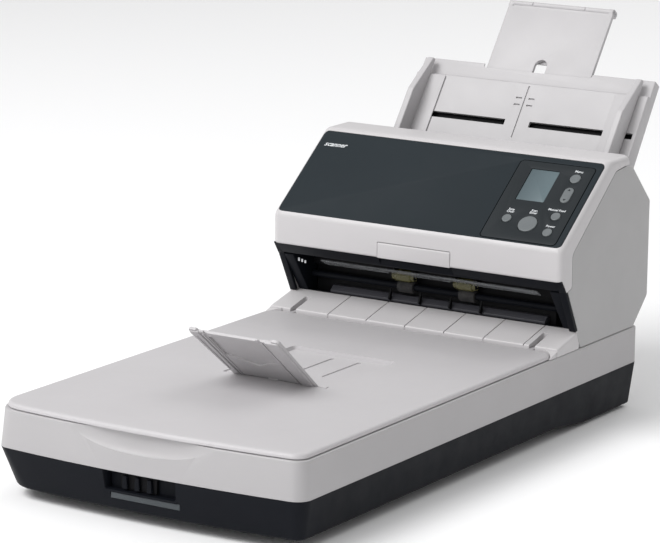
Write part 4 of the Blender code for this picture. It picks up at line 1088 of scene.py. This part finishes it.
def makeMarks():
    bm = bmesh.new()
    for word, (x, s, size) in labels.items():
        bm.from_mesh(wordMesh(word, x, s, size))
    addPiece("panel_words", meshFrom(bm), "mark", top)
    addPiece("fascia_word", wordMesh("scanner", -127.0, 86.0, 7.5, 0.3), "mark", top)


def makeUpperGuide():
    refine("upper_guide", "inner", top, 0.4)
    refine("upper_sensor_glass", "glass", top, 0.3)
    refine("clear_guide", "clear", top, 0.25)
    lip = [(415.9, 140.85), alongMouth(46.2, -0.1), alongMouth(47.0, 6.0), (424.2, 140.85)]
    strip = prism(rounded([(lip[0][0], lip[0][1], 0.4), (*lip[1], 1.4), lip[2], lip[3]]), -143.0, 143.0)
    seat = prism(rectangle(-38, 38, 120, 150), 400, 421.5, "y")
    strip = cut(strip, seat)
    tip = [alongMouth(45.6, 0.05), alongMouth(58.6, 0.05), alongMouth(58.6, 1.5), alongMouth(45.6, 1.5)]
    strip = join(strip, prism(tip, -148.9, -142.6), prism(tip, 142.6, 148.9))
    addPiece("mouth_lip", softened(strip, 0.35), "dark", top)
    scoop = rounded([(421.7, 131.6, 0.5), (427.5, 133.0), (427.5, 151.5), (418.9, 151.5, 1), (420.2, 140)])
    addPiece("tab_pocket", softened(prism(scoop, -37.6, 37.6), 0.3), "dark", top)
    # three small white bars beside the mouth that stand for small glints: painted highlights
    paintedGlints = []
    for k in range(3):
        x = -131.0 + 3.4 * k
        paintedGlints.append(block((x, 429.8, 122.6 - 0.6 * k), (x + 1.4, 430.6, 125.6 - 0.9 * k)))
    addPiece("sensor_marks", join(paintedGlints[0], *paintedGlints[1:]), "mark", top)

    outline = rounded([(414.7, 139.6, 0.8), (417.0, 139.6, 0.5), (417.0, 147), (417.2, 152.5, 0.5),
                       (416.8, 153.5, 0.4),
                       (415.9, 153.8, 0.4), (415.0, 153.5, 0.4), (414.6, 152.5, 0.4)], 4)
    addPiece("release_lever", softened(prism(outline, -37.4, 37.4), 0.4), "hood", "release_tab",
             ["release_tab"])


# the paper chute

chute = {
    "top": (637.1, 282.9), "angle": 53.57, "half": 125.0, "foot": -133.0, "ledge": -18.0, "surface": 7.0,
    "slotLow": -63.0, "slotHigh": -57.0, "bandHeight": 2.4,
}
onChute = Matrix.Translation((0, *chute["top"])) @ Matrix.Rotation(math.radians(chute["angle"]), 4, "X")


def makeChute():
    foot, ledge, surface, band = chute["foot"], chute["ledge"], chute["surface"], chute["bandHeight"]
    half = chute["half"]
    side = rounded([(foot, -8), (foot, surface), (ledge, surface, 1.4), (ledge + 0.6, band, 0.8),
                    (0, band, 1.2), (0, -8)], 5)
    plate = softened(prism(side, -half, half), 0.8, 3)
    inner = [(foot - 5, -20), (foot - 5, 4.5), (ledge - 2, 4.5), (ledge - 1.9, 0.9), (5, 0.9), (5, -20)]
    tools = [prism(inner, 2.5 - half, half - 2.5)]
    notch = rounded([(-60, 5), (-58, -4.5, 2.5), (58, -4.5, 2.5), (60, 5)])
    tools.append(prism(notch, -1, 9, "z"))
    for edge in (-1, 1):
        ends = sorted((13 * edge, 121.5 * edge))
        slot = rectangle(*ends, chute["slotLow"], chute["slotHigh"], 0.5)
        tools.append(prism(slot, 0, 9, "z"))
        tiny = sorted((3.5 * edge, 10 * edge))
        for s in (-34.0, -41.0):
            tools.append(block((tiny[0], s - 0.8, 5.4), (tiny[1], s + 0.8, 9)))
        edgeX = 109.0 * edge
        tools.append(block((edgeX - 0.35, -120, surface - 0.5), (edgeX + 0.35, -18, 9)))
    tools.append(block((-0.9, -75, surface - 1.0), (0.9, -21, 9)))
    tools.append(block((-half + 6, -19.2, surface - 0.4), (half - 6, -18.5, 9)))
    plate = cut(plate, *tools)
    plate = join(plate, rod((0, -60, 5.5), (0, -60, 1.1), 2.0, 24))
    for vertex in plate.vertices:
        vertex.co.x *= 1 - 0.024 * (vertex.co.y - foot) / -foot
    plate.transform(onChute)
    addPiece("chute_plate", plate, "light", body, ["paper_chute"])

    # a near-black sheet under the guide slots so that they read dark: painted shade
    slotShadeSheet = block((-120.3, -72, 0.66), (120.3, -48, 0.95), onChute)
    addPiece("chute_liner", slotShadeSheet, "inner", body)
    back = softened(block((-118.8, -131, -8.0), (118.8, -2, -7.3)), 0.2)
    back.transform(onChute)
    addPiece("chute_back", back, "light", body)

    for node, rides, edge in (("side_guide_left", "guide_left", -1), ("side_guide_right", "guide_right", 1)):
        fin = rounded([(-4, 7.4), (-4, 12, 2), (-45, 26.5, 6), (-100, 26.5), (-100, 7.4)], 6)
        fence = softened(prism(fin, *sorted((107.0 * edge, 113.5 * edge))), 1.1, 4)
        foot = sorted((90 * edge, 107.5 * edge))
        footing = softened(block((foot[0], -99, 7.3), (foot[1], -20, 8.5)), 0.35)
        fence = join(fence, footing)
        fence.transform(onChute)
        rack = nodeMesh(node)
        cutter = block((-200, -200, 6.9), (200, 200, 60), onChute)
        rack = cut(rack, cutter)
        addPiece(node + "_fence", fence, "light", rides, [node])
        addPiece(node + "_rack", rack, "greyGuide", rides)
    refine("guide_pinion", "greyGuide", "guide_pinion", 0.15)


def makeExtension():
    refine("chute_extension", "light", "chute_extension", 0.35)
    refine("extension_flap", "light", "extension_flap", 0.35)
    radius = 2.65
    profile = [(0.6, -51.0), (radius - 0.6, -51.0), (radius, -50.4)]
    for x in (-29.5, 25.9):
        profile += [(radius, x - 0.5), (radius - 0.7, x - 0.35), (radius - 0.7, x + 0.35), (radius, x + 0.5)]
    profile += [(radius, 54.6), (radius - 0.6, 55.2), (0.6, 55.2)]
    roll = spun(profile, (0, 67.0, -0.55), 40, "x", onChute)
    addPiece("extension_lip", roll, "light", "chute_extension")
    stud = spun([(1.0, 54.9), (1.5, 55.0), (1.7, 55.3), (1.7, 55.7), (1.3, 55.95), (0.4, 56.0)],
                (0, 66.5, -5.3), 24, "x", onChute)
    addPiece("flap_pin_head", stud, "steel", "chute_extension")


# the stage

camera = {"azimuth": 32.603, "elevation": 12.584, "roll": 0.458, "distance": 2.9,
          "target": (0.01205, 0.25567, 0.16225),
          "lens": 187.55, "shiftX": 0.0038, "shiftY": 0.0007}


def makeCamera():
    azimuth, elevation, roll = (math.radians(camera[key]) for key in ("azimuth", "elevation", "roll"))
    forward = Vector((-math.sin(azimuth) * math.cos(elevation), math.cos(azimuth) * math.cos(elevation),
                      -math.sin(elevation)))
    level = Vector((math.cos(azimuth), math.sin(azimuth), 0))
    up = level.cross(forward)
    right = level * math.cos(roll) + up * math.sin(roll)
    up = right.cross(forward)
    view = bpy.data.cameras.new("view")
    view.lens = camera["lens"]
    view.sensor_width = 36.0
    view.shift_x, view.shift_y = camera["shiftX"], camera["shiftY"]
    view.clip_end = 50
    holder = bpy.data.objects.new("view", view)
    turn = Matrix((right, up, -forward)).transposed().to_4x4()
    target = Vector(camera["target"]) + Vector((0, frontY, 0))
    holder.matrix_world = Matrix.Translation(target - forward * camera["distance"]) @ turn
    bpy.context.scene.collection.objects.link(holder)
    bpy.context.scene.camera = holder


lights = {
    "key": {"at": (-1.35, -1.9, 2.9), "size": 2.2, "power": 104},
    "front": {"at": (0.1, -3.0, 1.2), "size": 2.0, "power": 14},
    "back": {"at": (0.5, 3.2, 3.2), "size": 2.5, "power": 44},
}


def makeStage():
    floor = bpy.data.meshes.new("floor")
    bm = bmesh.new()
    bmesh.ops.create_grid(bm, x_segments=2, y_segments=2, size=30)
    bm.to_mesh(floor)
    bm.free()
    ground = bpy.data.objects.new("floor", floor)
    bpy.context.scene.collection.objects.link(ground)
    material, _, shader, _ = newMaterial("pale_floor")
    shader.inputs["Base Color"].default_value = (0.93, 0.93, 0.935, 1)
    shader.inputs["Roughness"].default_value = 0.7
    shader.inputs["Specular IOR Level"].default_value = 0.1
    floor.materials.append(material)
    for name, look in lights.items():
        lamp = bpy.data.lights.new(name, "AREA")
        lamp.shape = "SQUARE"
        lamp.size = look["size"]
        lamp.energy = look["power"]
        holder = bpy.data.objects.new(name, lamp)
        spot = Vector(look["at"])
        holder.location = spot
        holder.rotation_euler = (Vector((0, 0, 0.1)) - spot).to_track_quat("-Z", "Y").to_euler()
        bpy.context.scene.collection.objects.link(holder)
    world = bpy.data.worlds.new("soft_sky")
    world.use_nodes = True
    world.node_tree.nodes["Background"].inputs["Color"].default_value = (1, 1, 1, 1)
    world.node_tree.nodes["Background"].inputs["Strength"].default_value = 0.53
    bpy.context.scene.world = world
    bpy.context.scene.view_settings.view_transform = "Standard"


makeCamera()
makeStage()
print("stage ready")
makeBase()
print("base ready")
makeFlatbed()
makeLid()
makeStopper()
print("cover ready")
makeDeck()
makeSides()
makeMouth()
makeRollers()
print("feeder body ready")
makeHood()
makePanel()
makeMarks()
makeUpperGuide()
print("feeder top ready")
makeChute()
makeExtension()
print("chute ready")
